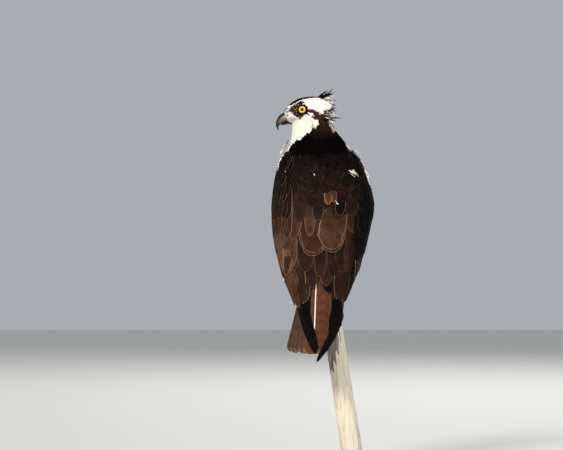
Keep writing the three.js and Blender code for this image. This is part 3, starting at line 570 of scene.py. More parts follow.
# Skin: the tint times a fine noise, with a soft bump
def skinMaterial():
    material, shader, node, link = nodeTool("downySkin")
    shader.inputs["Roughness"].default_value = 0.85
    shader.inputs["Specular IOR Level"].default_value = 0.05
    tint = node("Attribute", attribute_name="tint")
    place = node("TexCoord")
    fluff = node("TexNoise", {"Vector": place.outputs["Object"], "Scale": 320.0, "Detail": 5.0})
    tone = node("MapRange", {"Value": fluff.outputs["Fac"], "To Min": 0.85, "To Max": 1.05})
    colour = node("VectorMath", {0: tint.outputs["Color"], "Scale": tone.outputs[0]}, operation="SCALE")
    link(colour.outputs[0], "Base Color")
    bump = node("Bump", {"Height": fluff.outputs["Fac"], "Strength": 0.6, "Distance": 0.001})
    link(bump.outputs["Normal"], "Normal")
    return material


# Tube: rings of the given radii round a smooth path, with frames carried along it
def tubeRings(path, radii, cols, flatten=1.0):
    path = np.asarray(path, float)
    radii = np.asarray(radii, float)
    tangent = unit(np.gradient(path, axis=0))
    up = np.array([0.0, 0.0, 1.0]) if abs(tangent[0, 2]) < 0.9 else np.array([0.0, 1.0, 0.0])
    across = unit(np.cross(tangent, up))
    ups = np.cross(across, tangent)
    a = np.linspace(0, 2 * np.pi, cols, endpoint=False)
    ring = across[:, None] * np.cos(a)[None, :, None] + ups[:, None] * np.sin(a)[None, :, None] * flatten
    return path[:, None] + ring * radii[:, None, None]


# Smooth path through points: cubic pieces as for the row tables, with the point's number as height
def pathThrough(points, count):
    table = np.concatenate([np.arange(len(points))[:, None], np.asarray(points, float)], 1)
    return rowsAt(table.tolist(), np.linspace(0, len(points) - 1, count))


thigh = {"hip": [34, 34, 452], "heel": [20, 14, 406], "mid": -22, "radii": [15, 23.5, 30, 31, 19.5, 9.5],
         "rise": [-3, -14, 26]}


# Middle line of a thigh from inside the body over hip and knee to heel, and its radii
def thighPath(side, count):
    hip = np.array([thigh["mid"] + side * thigh["hip"][0], *thigh["hip"][1:]])
    heel = np.array([thigh["mid"] + side * thigh["heel"][0], *thigh["heel"][1:]])
    middle = hip + (heel - hip) * 0.55 + [side * 2, 3, 0]
    inside = hip + [side * thigh["rise"][0], *thigh["rise"][1:]]
    radii = pathThrough([[r] for r in thigh["radii"]], count)[:, 0]
    return pathThrough([inside, hip, middle, heel], count), radii


# Trunk, head and thighs drawn in by a margin, fused by voxels, coloured and mapped by place
def buildSkin():
    angle = np.linspace(0, 360, 96, endpoint=False)
    h = np.linspace(302, 718, 120)
    trunk = closedRings(ringPoint(trunkRows, h[:, None], angle[None], -skin["inside"]))
    x = np.linspace(-3.5, -87, 60)
    head = closedRings(headPoint(x[:, None], angle[None], -skin["inside"] * 0.7))
    parts = [trunk, head]
    for side in (-1, 1):
        path, radii = thighPath(side, 24)
        parts.append(closedRings(tubeRings(path, radii - 2.5, 40)))
    points, faces, uv = joined(parts)
    piece = makePiece("skin", points, faces, skinMaterial(),
                      ("torso", "neck", "head", "thigh_left", "thigh_right"))
    remesh = piece.modifiers.new("oneSurface", "REMESH")
    remesh.mode = "VOXEL"
    remesh.voxel_size = skin["voxel"]
    remesh.use_smooth_shade = True
    bpy.context.view_layer.update()
    result = bpy.data.meshes.new_from_object(piece.evaluated_get(bpy.context.evaluated_depsgraph_get()))
    piece.modifiers.clear()
    old = piece.data
    piece.data = result
    bpy.data.meshes.remove(old)
    result.name = "skin"
    co = np.empty(len(result.vertices) * 3)
    result.vertices.foreach_get("co", co)
    p = co.reshape(-1, 3) * 1000
    tint = np.concatenate([plumage(p) * 0.92, np.zeros((len(p), 1))], -1)
    result.color_attributes.new("tint", "FLOAT_COLOR", "POINT").data.foreach_set("color", tint.ravel())
    mid = rowsAt(trunkRows, np.clip(p[:, 2], 300, 720))
    turn = np.degrees(np.arctan2(p[:, 0] - mid[:, 0], -(p[:, 1] - mid[:, 3]))) / 360 + 0.5
    loops = np.empty(len(result.loops), int)
    result.loops.foreach_get("vertex_index", loops)
    uv = np.stack([turn, (p[:, 2] - mapLow) / mapHeight], -1)[loops]
    # a face that crosses the seam keeps all its corners on one side
    starts = np.empty(len(result.polygons), int)
    totals = np.empty(len(result.polygons), int)
    result.polygons.foreach_get("loop_start", starts)
    result.polygons.foreach_get("loop_total", totals)
    owner = np.repeat(np.arange(len(starts)), totals)
    high = np.zeros(len(starts))
    np.maximum.at(high, owner, uv[:, 0])
    uv[:, 0] = np.where((high[owner] > 0.8) & (uv[:, 0] < 0.3), uv[:, 0] + 1, uv[:, 0])
    result.uv_layers.new(name="OFBake").data.foreach_set("uv", uv.ravel())
    print("stage: skin", len(result.polygons), "faces")


buildSkin()


# Contour feathers of the body, neck and thighs
bodyCoat = {"bands": [
    # top and bottom height, distance of the rows, distance along a row, length, half width, lift of the tips
    {"top": 708, "bottom": 668, "row": 3.4, "across": 4.4, "length": 19, "half": 4.3, "lift": 0.0},
    {"top": 668, "bottom": 634, "row": 4.2, "across": 5.4, "length": 22, "half": 5.2, "lift": 0.1},
    {"top": 634, "bottom": 560, "row": 6.0, "across": 7.4, "length": 28, "half": 6.6, "lift": 1.1},
    {"top": 560, "bottom": 498, "row": 7.0, "across": 9.0, "length": 32, "half": 8.2, "lift": 1.2},
    {"top": 498, "bottom": 400, "row": 5.5, "across": 9.0, "length": 30, "half": 8.2, "lift": 1.2},
    {"top": 400, "bottom": 306, "row": 7.5, "across": 9.0, "length": 28, "half": 7.6, "lift": 1.2},
]}


# Rows of feather roots at even steps, every second row moved by half a step, each root moved a little
def jitteredGrid(band):
    hs, angles = [], []
    for k, h in enumerate(np.arange(band["top"], band["bottom"], -band["row"])):
        row = rowsAt(trunkRows, h)
        count = max(6, int(round(2 * math.pi * (row[1] * 2 + (row[4] - row[2])) / 4 / band["across"])))
        a = (np.arange(count) + (k % 2) * 0.5) / count * 360 - 180
        angles.append(a + rng.uniform(-0.35, 0.35, count) * 360 / count)
        hs.append(np.full(count, h) + rng.uniform(-0.35, 0.35, count) * band["row"])
    return np.concatenate(hs), np.concatenate(angles)


# Feathers along each band, left out under the wings and shorter where the surface is steep
def buildBodyCoat():
    sets = {"coat_back": [], "coat_breast": [], "coat_belly": [], "coat_neck": []}
    places = {key: [] for key in sets}
    for area in bodyCoat["bands"]:
        h, a = jitteredGrid(area)
        n = len(h)
        steep = np.linalg.norm(onTrunk(h + 4, a, np.zeros(n)) - onTrunk(h - 4, a, np.zeros(n)), axis=-1) / 8
        length = area["length"] * rng.uniform(0.8, 1.2, n) / np.clip(steep, 1, 2.4)
        half = area["half"] * rng.uniform(0.85, 1.15, n)
        root = np.stack([h, a], -1)
        tip = np.stack([h - length, a + rng.normal(0, 2.5, n)], -1)
        noise = rng.uniform(-1, 1, n)
        tint = plumage(onTrunk(h - 0.7 * length, a, np.zeros(n)), noise)
        white = tint.max(-1) > 0.3
        tint = tint * np.where(white, rng.uniform(0.9, 1.03, n), rng.uniform(0.8, 1.2, n))[:, None]
        lead = rowsAt(wingRows, np.clip(h - length * 0.5, 373, 636))
        hidden = (np.abs(a) > lead[:, 0] + 7) & (np.abs(a) < lead[:, 1] - 9) & (h < 628) & (h > 372)
        rump = (np.abs(a) <= 100) & (h > 340)
        groups = {
            "coat_back": ~hidden & rump & (h <= 668),
            "coat_breast": ~hidden & (np.abs(a) > 100) & (h > 500) & (h <= 668),
            "coat_belly": ~hidden & ~rump & (h <= 500),
            "coat_neck": h > 668,
        }
        for name, keep in groups.items():
            k = np.flatnonzero(keep)
            if not len(k):
                continue
            sets[name].append(vanes(
                onTrunk, root[k], tip[k], half[k], (-2.4, area["lift"] + 0.5 * rng.random(len(k))),
                detail="small", thick=0.35, tint=tint[k], rough=0.12,
                crown=0.1 if area["top"] > 640 else 0.45,
                curl=rng.uniform(-0.2, 0.4, len(k)) * min(1, area["lift"] + 0.2), tipFrom=0.35,
                tipPower=1.5, rootShare=0.6, rootShade=(0.86, 1.01) if area["top"] > 640 else (0.55, 1.06)))
            places[name].append(np.stack([a[k] / 360 + 0.5, (h[k] - mapLow) / mapHeight], -1))
    for name in sets:
        featherPiece(name, sets[name], coatMat, places=places[name])


# Feathers round each thigh: u runs along its middle line, v round it
def buildThighCoat():
    sets, places = [], []
    for side in (-1, 1):
        path, radii = thighPath(side, 60)

        def at(u, v, off):
            t = np.clip(u, 0, 1) * (len(path) - 1)
            grid = np.concatenate([np.arange(len(path))[:, None], path, radii[:, None]], 1)
            row = np.stack([np.interp(t, grid[:, 0], grid[:, k]) for k in (1, 2, 3, 4)], -1)
            ahead = np.stack([np.interp(t + 1.5, grid[:, 0], grid[:, k])
                              - np.interp(t - 1.5, grid[:, 0], grid[:, k]) for k in (1, 2, 3)], -1)
            way = unit(ahead)
            sideways = unit(np.cross(way, np.array([0.0, 1.0, 0.0])))
            upward = np.cross(sideways, way)
            c, s = np.cos(np.radians(v)), np.sin(np.radians(v))
            out = sideways * c[..., None] + upward * s[..., None]
            extra = np.maximum(u - 1, 0) * 55
            return row[..., :3] + out * (row[..., 3] + off)[..., None] + way * extra[..., None]
        rows, around = 17, 16
        n = rows * around
        u = np.repeat(np.linspace(0.08, 0.95, rows), around) + rng.uniform(-0.015, 0.015, n)
        v = np.tile(np.arange(around) * 360 / around, rows) + np.repeat(np.arange(rows) % 2, around) * 11
        v = v + rng.uniform(-5, 5, n)
        length = np.interp(u, [0.1, 0.7, 0.95], [0.3, 0.23, 0.17])
        half = np.interp(u, [0.1, 0.35, 0.7, 0.95], [8.0, 9.5, 7.5, 4.6])
        tint = np.broadcast_to(colours["white"], (n, 3)) * rng.uniform(0.88, 1.03, n)[:, None]
        sets.append(vanes(at, np.stack([u, v], -1), np.stack([u + length, v + rng.normal(0, 3, n)], -1),
                          half, (-2.6, 1.5), detail="small", tint=tint, rough=0.12, crown=0.4, thick=0.35,
                          rootShade=(0.55, 1.06)))
        places.append(np.stack([(v % 360) / 800 + (0.5 if side > 0 else 0), u * 0.9], -1))
    featherPiece("coat_thighs", sets, coatMat, places=places)


buildBodyCoat()
buildThighCoat()


# Wings: a closed core along the shell, then tiers of vanes from the longest inwards
wingCore = {"top": 2.6, "thick": 11, "edge": 3.4, "levels": 60, "columns": 40}


# Core of a wing: an outer and an inner grid under the shell, joined round the rim
def buildWingCore(name, side):
    h = np.linspace(wingRows[0][0], wingRows[-1][0], wingCore["levels"])
    rows = rowsAt(wingRows, h)
    u = np.linspace(0, 1, wingCore["columns"])
    angle = side * (rows[:, :1] + (rows[:, 1:] - rows[:, :1]) * u)
    hh = np.broadcast_to(h[:, None], angle.shape)
    thin = np.minimum(1, 0.45 + 0.55 * np.minimum((636 - h) / 40, (h - 373) / 60 + 0.15))[:, None]
    rounded = 1.6 * smooth(0.9, 1, u)[None]
    outer = onShell(hh, angle, -(wingCore["top"] + rounded))
    inner = onShell(hh, angle, -(wingCore["top"]
                                 + (wingCore["edge"] + (wingCore["thick"] - wingCore["edge"])
                                    * np.sin(np.pi * u)[None] ** 0.55) * thin))
    levels, columns = outer.shape[:2]
    points = np.concatenate([outer.reshape(-1, 3), inner.reshape(-1, 3)])
    n = levels * columns
    quads = gridQuads(levels, columns)
    index = np.arange(n).reshape(levels, columns)
    rim = np.concatenate([index[0, :-1], index[:-1, -1], index[-1, :0:-1], index[:0:-1, 0]])
    nxt = np.roll(rim, -1)
    walls = np.stack([nxt, rim, rim + n, nxt + n], -1)
    faces = outward(points, np.concatenate([quads, quads[:, ::-1] + n, walls]))
    lead = np.broadcast_to(u[None] > 0.86, (levels, columns)).ravel()
    tint = np.tile(np.where(lead[:, None], colours["maskBrown"], colours["darkBrown"]), (2, 1))
    grid = np.stack(np.meshgrid(np.linspace(0.03, 0.97, columns), np.linspace(0.02, 0.48, levels)),
                    -1).reshape(-1, 2)
    uv = np.concatenate([grid, grid + [0, 0.5]])
    vane = np.tile([3.0, 3.0, 0.0], (2 * n, 1))
    makePiece("wing_core_" + name, points, faces, coatMat, ("wing_" + name,), tint, vane,
              uv)


# Tiers, in order from the wing's lower end upwards: number of vanes, heights of roots and tips, angles of
# roots and tips from the inner to the outer end, half widths, lift of root and tip, tone, pale edge
wingTiers = [
    {"count": 9, "rootZ": (452, 440), "tipZ": (346, 341), "rootA": (33, 98), "tipA": (35, 93),
     "half": (14, 11), "lift": (-3.4, -1.6), "tone": 0.75, "edge": 0.75},
    {"count": 7, "rootZ": (520, 470), "tipZ": (392, 372), "rootA": (96, 118), "tipA": (90, 103),
     "half": (9, 7), "lift": (-3.2, -0.9), "tone": 0.35, "edge": 0.35},
    {"count": 11, "rootZ": (505, 490), "tipZ": (404, 398), "rootA": (38, 106), "tipA": (41, 100),
     "half": (13, 10), "lift": (-3.0, -0.3), "tone": 0.8, "edge": 0.9},
    {"count": 12, "rootZ": (538, 528), "tipZ": (446, 436), "rootA": (40, 110), "tipA": (42, 106),
     "half": (12, 9.5), "lift": (-2.8, 0.3), "tone": 0.7, "edge": 0.7},
    {"count": 13, "rootZ": (560, 552), "tipZ": (482, 470), "rootA": (42, 114), "tipA": (44, 110),
     "half": (11, 9), "lift": (-2.6, 0.8), "tone": 0.8, "edge": 0.8},
    {"count": 13, "rootZ": (578, 570), "tipZ": (511, 499), "rootA": (43, 117), "tipA": (45, 114),
     "half": (10, 8.5), "lift": (-2.4, 1.1), "tone": 0.62, "edge": 0.6},
    {"count": 13, "rootZ": (592, 586), "tipZ": (536, 525), "rootA": (44, 119), "tipA": (46, 117),
     "half": (9.5, 8), "lift": (-2.4, 1.3), "tone": 0.62, "edge": 0.65},
    {"count": 12, "rootZ": (606, 602), "tipZ": (557, 548), "rootA": (46, 119), "tipA": (48, 118),
     "half": (9, 7.5), "lift": (-2.2, 1.4), "tone": 0.5, "edge": 0.5},
    {"count": 11, "rootZ": (619, 616), "tipZ": (576, 568), "rootA": (48, 117), "tipA": (50, 118),
     "half": (8.5, 7), "lift": (-2.2, 1.4), "tone": 0.45, "edge": 0.45},
    {"count": 10, "rootZ": (631, 628), "tipZ": (593, 588), "rootA": (54, 113), "tipA": (54, 115),
     "half": (8, 6.5), "lift": (-2.2, 1.3), "tone": 0.35, "edge": 0.35},
    {"count": 8, "rootZ": (642, 640), "tipZ": (608, 606), "rootA": (60, 108), "tipA": (58, 111),
     "half": (7.5, 6), "lift": (-2.2, 1.2), "tone": 0.25, "edge": 0.3},
]
# Feathers of the back in view, by X and height: root, tip, half width, lift of the tip, tone, pale edge
backFeathers = [
    # long inner feathers of each wing, whose tips lie over the wing tips
    [-72, 452, -66, 331, 16, -1.6, 0.7, 0.7], [-58, 448, -58, 342, 19, -0.5, 0.62, 0.85],
    [18, 446, 14, 342, 17, -0.5, 0.62, 0.8], [30, 450, 27, 350, 14, -1.2, 0.5, 0.5],
    [-40, 476, -40, 372, 13, -0.1, 0.55, 0.25], [-22, 470, -25, 393, 17, 0.5, 0.6, 0.55],
    [-10, 462, -12, 376, 14, -0.4, 0.55, 0.5], [4, 470, 2, 392, 14, 0.0, 0.5, 0.2],
    [-56, 486, -52, 404, 16, 0.3, 0.65, 0.3], [22, 492, 18, 402, 16, 0.2, 0.6, 0.3],
    [40, 500, 36, 414, 15, 0.5, 0.55, 0.7], [-84, 500, -76, 406, 14, -0.2, 0.8, 0.5],
    # the two large ones that meet in the middle, each over a longer one like it
    [-52, 526, -36.5, 434.5, 24, 1.0, 0.6, 1.0], [-50, 534, -37, 440, 22.5, 1.8, 0.7, 1.0],
    [12, 534, -4, 441.5, 26, 1.9, 0.7, 1.0], [12, 542, -5, 447, 24.5, 2.7, 1.0, 1.2],
    [-62, 552, -77, 467, 13, 1.6, 0.9, 0.9], [44, 548, 40, 480, 16, 1.7, 0.85, 0.5],
    [-90, 552, -84, 470, 12, 1.0, 0.8, 0.4], [62, 545, 56, 470, 13, 1.0, 0.5, 0.5],
    # pale-edged ones at the outer sides, and the dark one over the right wing tip
    [46, 462, 43, 388, 5.5, 1.9, 1.5, 1.5], [57, 466, 51, 402, 5, 1.7, 1.4, 1.3],
    [-10, 424, -9, 365, 11, -1.0, 0.0, 0.0], [-72, 478, -90, 395, 11, 1.3, 0.75, 1.4],
    [24, 448, 14, 345, 18, 0.5, 0.62, 0.6], [-70, 440, -66, 334, 15, -0.6, 0.85, 0.7],
    # smaller ones above them
    [-46, 556, -44, 473, 10.5, 2.7, 1.05, 0.55], [-30, 568, -30, 502, 11, 3.3, 0.75, 0.5],
    [-62, 586, -64, 500, 15, 2.4, 0.7, 0.15], [2, 574, 8, 508, 14, 3.3, 0.7, 0.12],
    [14, 580, 13, 513, 11, 3.9, 0.1, 0.55], [34, 596, 34, 512, 16, 2.9, 0.7, 0.15],
    [-18, 596, -16, 530, 15, 3.2, 0.7, 0.1], [-40, 604, -40, 530, 15, 3.2, 0.7, 0.15],
    [-64, 612, -60, 540, 14, 2.8, 0.7, 0.12], [-7, 584, -9, 534, 8, 5.6, 1.6, 1.3],
    [-2, 590, 3, 538, 8, 5.0, 1.7, 0.4], [20, 610, 20, 540, 14, 3.4, 0.6, 0.1],
    [46, 610, 44, 544, 13, 2.9, 0.7, 0.15], [4, 612, 5, 553, 13, 3.9, 0.6, 0.1],
    [-30, 622, -29, 556, 13, 3.6, 0.6, 0.1], [-54, 628, -48, 562, 13, 3.2, 0.6, 0.12],
    [-12, 622, -12, 566, 13, 3.8, 0.5, 0.05], [28, 630, 27, 566, 13, 3.6, 0.5, 0.08],
    [10, 630, 10, 576, 12, 3.8, 0.5, 0.05], [-38, 640, -36, 580, 12, 3.6, 0.4, 0.05],
    [46, 634, 44, 570, 12, 3.1, 0.5, 0.1], [-66, 630, -62, 574, 11, 2.8, 0.5, 0.1],
]


# Darker towards the neck. Painted shade darkens the bird's right wing and its lower right side, and painted
# light makes the left wing paler low down and along its outer edge
def placeTone(x, z):
    down = np.interp(z, [340, 380, 425, 460, 495, 535, 565, 600, 625],
                     [0.62, 0.5, 0.42, 0.66, 0.58, 0.25, 0.16, 0.08, 0.0])
    # painted shade low on the bird's right side
    down = down * (1 - 0.45 * smooth(6, 24, x) * (1 - smooth(405, 440, z)))
    # painted light low on the left wing and along its outer edge
    wearAndLight = np.exp(-((z - 440) / 60) ** 2) * (1 - smooth(-108, -66, x))
    outer = 1 + 0.4 * (1 - smooth(-112, -70, x))
    # painted shade over the bird's right wing
    return down * (1 - 0.96 * smooth(32, 60, x)) * (1 + 0.95 * wearAndLight) * outer


# Tone 0 to 1 from black over deep brown to brown, brighter above 1, with a share of rufous
def featherTone(tone, n, warm=0.0):
    tone = np.asarray(tone, float) * np.ones(n) * rng.uniform(0.84, 1.16, n)
    deep = blend(colours["black"], colours["deepBrown"], np.clip(tone / 0.4, 0, 1) ** 1.3)
    base = blend(deep, colours["brown"], np.clip((tone - 0.4) / 0.6, 0, 1))
    base = base * (1 + 1.6 * np.clip(tone - 1, 0, 0.35))[:, None]
    return blend(base, colours["rufous"], warm + np.zeros(n))


# Tiers of vanes, each value spread evenly from the inner to the outer end and moved a little
def buildWing(name, side):
    buildWingCore(name, side)
    sets = []
    for tier in wingTiers:
        n = tier["count"]
        t = np.linspace(0, 1, n)

        def pick(key):
            return tier[key][0] + (tier[key][1] - tier[key][0]) * t

        wobble = rng.normal(0, 1, (4, n))
        root = np.stack([pick("rootZ") + 2 * wobble[0], side * (pick("rootA") + wobble[1])], -1)
        tip = np.stack([pick("tipZ") + (7.0 if tier["tipZ"][0] > 450 else 3.5) * wobble[2],
                        side * (pick("tipA") + 1.2 * wobble[3])], -1)
        middle = onShell((root[:, 0] + tip[:, 0]) / 2, (root[:, 1] + tip[:, 1]) / 2, 0 * t)
        dim = placeTone(middle[:, 0], middle[:, 2])
        # the pale edges are a quarter as strong on the right wing: painted shade
        bright = (rng.uniform(0.05, 0.4, n) + 0.4 * (rng.random(n) < 0.15)) * (1 if side < 0 else 0.25)
        order = 0.25 * np.arange(n)[::-1] / n
        sets.append(vanes(onShell, root, tip, pick("half") * 1.06,
                          (tier["lift"][0], tier["lift"][1] + order), roll=-0.75 * side, detail="fine",
                          cols=7, tint=featherTone(tier["tone"] * dim, n), edge=tier["edge"] * bright,
                          crown=0.4, curl=rng.uniform(-0.1, 0.35, n), tipFrom=0.68, rough=0.045,
                          rootShade=(0.85, 1.1)))
    featherPiece("wing_vanes_" + name, sets, featherMat)


# Small soft feathers in rows where the neck goes over into the back
mantle = {"top": 640, "bottom": 572, "row": 9.5, "across": 10.5, "width": 62, "length": 32, "half": 8.0,
          "lift": 4.0}


# Vanes in shifted rows, lower towards the shoulders by the square of the distance
def buildMantle():
    xs, zs = [], []
    for k, z in enumerate(np.arange(mantle["top"], mantle["bottom"], -mantle["row"])):
        x = np.arange(-mantle["width"], mantle["width"], mantle["across"]) + (k % 2) * mantle["across"] / 2
        xs.append(x - 8 + rng.normal(0, 2.2, len(x)))
        zs.append(z + rng.normal(0, 5.0, len(x)))
    x, z = np.concatenate(xs), np.concatenate(zs)
    n = len(x)
    tipX, tipZ = x * 1.02 + rng.normal(0, 2.5, n), z - mantle["length"] * rng.uniform(0.8, 1.15, n)
    root, tip = np.stack([z, shellAngle(z, x)], -1), np.stack([tipZ, shellAngle(tipZ, tipX)], -1)
    far = np.abs(tipX + 12) / 60
    return vanes(onShell, root, tip, mantle["half"] * rng.uniform(0.75, 1.15, n),
                 (-2.5, mantle["lift"] - 1.6 * far**2 + rng.uniform(-0.3, 0.3, n)), detail="fine", cols=7,
                 thick=0.4, tint=featherTone(rng.uniform(0.7, 1.15, n) * placeTone(tipX, tipZ + 6), n),
                 edge=0.1 * (rng.random(n) < 0.15), crown=0.25, rough=0.07, tipFrom=0.5, tipPower=1.8,
                 rootShade=(0.85, 1.1))


# One vane for each row of the table above, with the mantle in the same piece
def buildBack():
    data = np.array(backFeathers)
    rootA, tipA = shellAngle(data[:, 1], data[:, 0]), shellAngle(data[:, 3], data[:, 2])
    root = np.stack([data[:, 1], rootA], -1)
    tip = np.stack([data[:, 3], tipA], -1)
    n = len(data)
    cut = vanes(onShell, root, tip, data[:, 4], (-3.0, data[:, 5] - 0.4), detail="fine", cols=9, thick=0.7,
                tint=featherTone(data[:, 6] * placeTone(data[:, 2], data[:, 3] + 20), n,
                                 0.6 * (data[:, 6] > 1.55)),
                edge=0.55 * data[:, 7], crown=0.45,
                rough=0.035, tipFrom=0.6, rootShade=(0.6, 1.18),
                curl=rng.uniform(0.0, 0.35, n), roll=rng.normal(0, 0.2, n))
    featherPiece("scapulars", [cut, buildMantle()], featherMat)


for name, side in sides.items():
    buildWing(name, side)
buildBack()


# Primaries: from the curved side of the wing at the root to a flat pile at the tip
primaries = {
    "left": {"tips": [[-52, 304], [-48, 294], [-43, 282], [-37, 270], [-32, 260], [-31, 251], [-34, 243.5]],
             "rootA": (28, 54), "depth": 6, "half": 9.4, "bow": 0},
    "right": {"tips": [[-6, 300], [-7, 286], [-8, 273], [-10, 261], [-15, 250], [-23, 238], [-31.5, 227.5]],
              "rootA": (30, 66), "depth": 0.6, "half": 9.0, "bow": 7},
}
primaryTop = 376


# Y of the back at a height
def backAt(h):
    return rowsAt(shellRows, h)[..., 2]


# Each vane goes over from the wing's curve to a flat pile by a smooth step along its length
def buildPrimaries(name, side):
    hand = primaries[name]
    sets = []
    for k, (tipX, tipZ) in enumerate(hand["tips"]):
        t = k / (len(hand["tips"]) - 1)
        angle = side * (hand["rootA"][0] + (hand["rootA"][1] - hand["rootA"][0]) * t)
        rootX = float(ringPoint(shellRows, primaryTop, angle)[0])
        sunk = 4.6 + 0.55 * k

        def at(u, v, off):
            s = (u - primaryTop) / (tipZ - primaryTop)
            ease = smooth(0.05, 0.75, s)[..., None]
            curved = onShell(u, angle + v / 60 * 57.3, off - sunk)
            flatX = rootX + (tipX - rootX) * s + v + side * hand["bow"] * np.sin(np.pi * np.clip(s, 0, 1))
            flat = np.stack([flatX, backAt(u) + hand["depth"] + 0.72 * k - off, u], -1)
            return curved * (1 - ease) + flat * ease
        tone = colours["flight"] * rng.uniform(0.8, 1.15)
        sets.append(vanes(at, [[primaryTop, 0]], [[tipZ, 0]], hand["half"] * (1 - 0.12 * t), (0, 0),
                          detail="fine", cols=7, thick=0.6, tint=tone, edge=0.03, rootShare=0.95,
                          tipFrom=0.62, tipPower=1.7, tipShare=0.05, rough=0.015, crown=0.4,
                          roll=-0.25 * side, rootShade=(1.0, 1.0)))
    featherPiece("primary_vanes_" + name, sets, flightMat, ("primaries_" + name,))


for name, side in sides.items():
    buildPrimaries(name, side)


# Tail: twelve vanes in a fan, the middle pair on top, with white shafts
tail = {"root": (-32, 392), "tip": (-40.5, 241), "rootSpread": 15, "half": 12, "count": 12,
        "fan": [[5, 9, 17, 27, 34, 42], [3, 7, 11, 15, 19, 24]]}
tailDepth = [[240, 13], [300, 15], [350, 19], [400, 19]]
tail["deckDepth"] = [[240, 10], [300, 11], [350, 9.5], [410, 5.5]]
tail["deck"] = [[-31.5, 404, -37, 262, 9, 1.0, 1.0, 0.0], [-16, 404, -22, 256, 14, 0.9, 0.0, 1.2],
                [-1, 402, -7, 268, 14, 0.5, 0.05, 2.4], [-46, 400, -50, 275, 10, 0.5, 0.06, 2.4],
                [10, 398, 6, 290, 13, 0.2, 0.0, 3.4]]


# Tail vanes: tint with faint bars, a pale tip rim and a white shaft where the tint's alpha asks for it
def tailMaterial():
    material, shader, node, link = nodeTool("tailFeather")
    shader.inputs["Roughness"].default_value = 0.58
    shader.inputs["Specular IOR Level"].default_value = 0.07
    vane = node("Attribute", attribute_name="vane")
    tint = node("Attribute", attribute_name="tint")
    parts = node("SeparateXYZ", {0: vane.outputs["Vector"]})
    place = node("TexCoord")
    mottle = node("TexNoise", {"Vector": place.outputs["Object"], "Scale": 60.0, "Detail": 4.0})
    barbs = times(node, parts.outputs[2], 4.6)
    wave = node("Math", {0: barbs.outputs[0]}, operation="SINE")
    bars = times(node, parts.outputs[2], 0.33)
    barWave = node("Math", {0: bars.outputs[0]}, operation="SINE")
    barTone = ranged(node, barWave.outputs[0], -0.2, 0.9, 1.0, 0.82)
    tone = ranged(node, mottle.outputs["Fac"], 0.3, 0.7, 0.85, 1.15)
    both = times(node, tone.outputs[0], barTone.outputs[0])
    base = node("VectorMath", {0: tint.outputs["Color"], "Scale": both.outputs[0]}, operation="SCALE")
    lowEnd = node("SeparateXYZ", {0: place.outputs["Object"]})
    nearTip = ranged(node, lowEnd.outputs[2], 0.244, 0.256, 0.9, 0.05)
    edge = ranged(node, parts.outputs[1], 0.6, 1.5, 1.0, 0.0)
    rimOn = times(node, edge.outputs[0], nearTip.outputs[0])
    pale = mixed(node, rimOn.outputs[0], base.outputs[0], rgba(srgb(196, 160, 132)))
    shaft = ranged(node, parts.outputs[0], 0.9, 1.3, 1.0, 0.0)
    shaftOn = times(node, shaft.outputs[0], tint.outputs["Alpha"])
    final = mixed(node, shaftOn.outputs[0], pale.outputs["Result"], rgba(srgb(244, 232, 222)))
    link(final.outputs["Result"], "Base Color")
    bump = node("Bump", {"Height": wave.outputs[0], "Strength": 0.3, "Distance": 0.0003})
    link(bump.outputs["Normal"], "Normal")
    return material


# Fan: every vane lies on the back's line + its depth + a share of (x from the middle) squared
def buildTail():
    sets = []
    pairs = tail["count"] // 2
    for k in range(pairs):
        for side in (-1, 1):
            share = (k + 0.5) / pairs
            root = [tail["root"][1], tail["root"][0] + side * tail["rootSpread"] * share]
            tip = [tail["tip"][1] + 0.5 * k + (k % 2) * 2, tail["tip"][0] + side * tail["fan"][side > 0][k]]
            layer = 0.62 * (2 * k + (1 if side > 0 else 0))

            def at(h, x, off):
                t = (tail["root"][1] - h) / (tail["root"][1] - tail["tip"][1])
                middle = tail["root"][0] + (tail["tip"][0] - tail["root"][0]) * t
                y = backAt(h) + rowsAt(tailDepth, h)[..., 0] + 8 * ((x - middle) / 50) ** 2 + layer - off
                return np.stack([x + 0 * h, y, h + 0 * x], -1)
            tone = blend(colours["deck"], colours["tail"], min(1, k / 2.0)) * rng.uniform(0.88, 1.12)
            shaftWhite = 0.1 if k else 0.0
            sets.append(vanes(at, [root], [tip], tail["half"], (0, 0), detail="fine", cols=9, thick=0.6,
                              tint=tone, edge=shaftWhite, rootShare=0.6, tipFrom=0.92, tipPower=2.0,
                              tipShare=0.04, rough=0.012, crown=0.6, roll=0.3 * side, rootShade=(0.85, 1.1)))
    # feathers over the tail's middle: X and Z of root and tip, half width, tone, shaft, depth
    for rootX, rootZ, tipX, tipZ, half, tone, shaftWhite, over in tail["deck"]:
        def above(h, x, off):
            y = backAt(h) + rowsAt(tail["deckDepth"], h)[..., 0] + over - off
            return np.stack([x + 0 * h, y, h + 0 * x], -1)
        sets.append(vanes(above, [[rootZ, rootX]], [[tipZ, tipX]], half, (0, 0), detail="fine", cols=9,
                          thick=0.6, tint=blend(colours["tail"] * 0.6, colours["deck"], tone),
                          edge=shaftWhite, rootShare=0.8, tipFrom=0.88, tipPower=2.0, tipShare=0.04,
                          rough=0.012, crown=0.5, rootShade=(1.0, 1.0)))
    featherPiece("tail_vanes", sets, tailMaterial(), ("tail",))


buildTail()


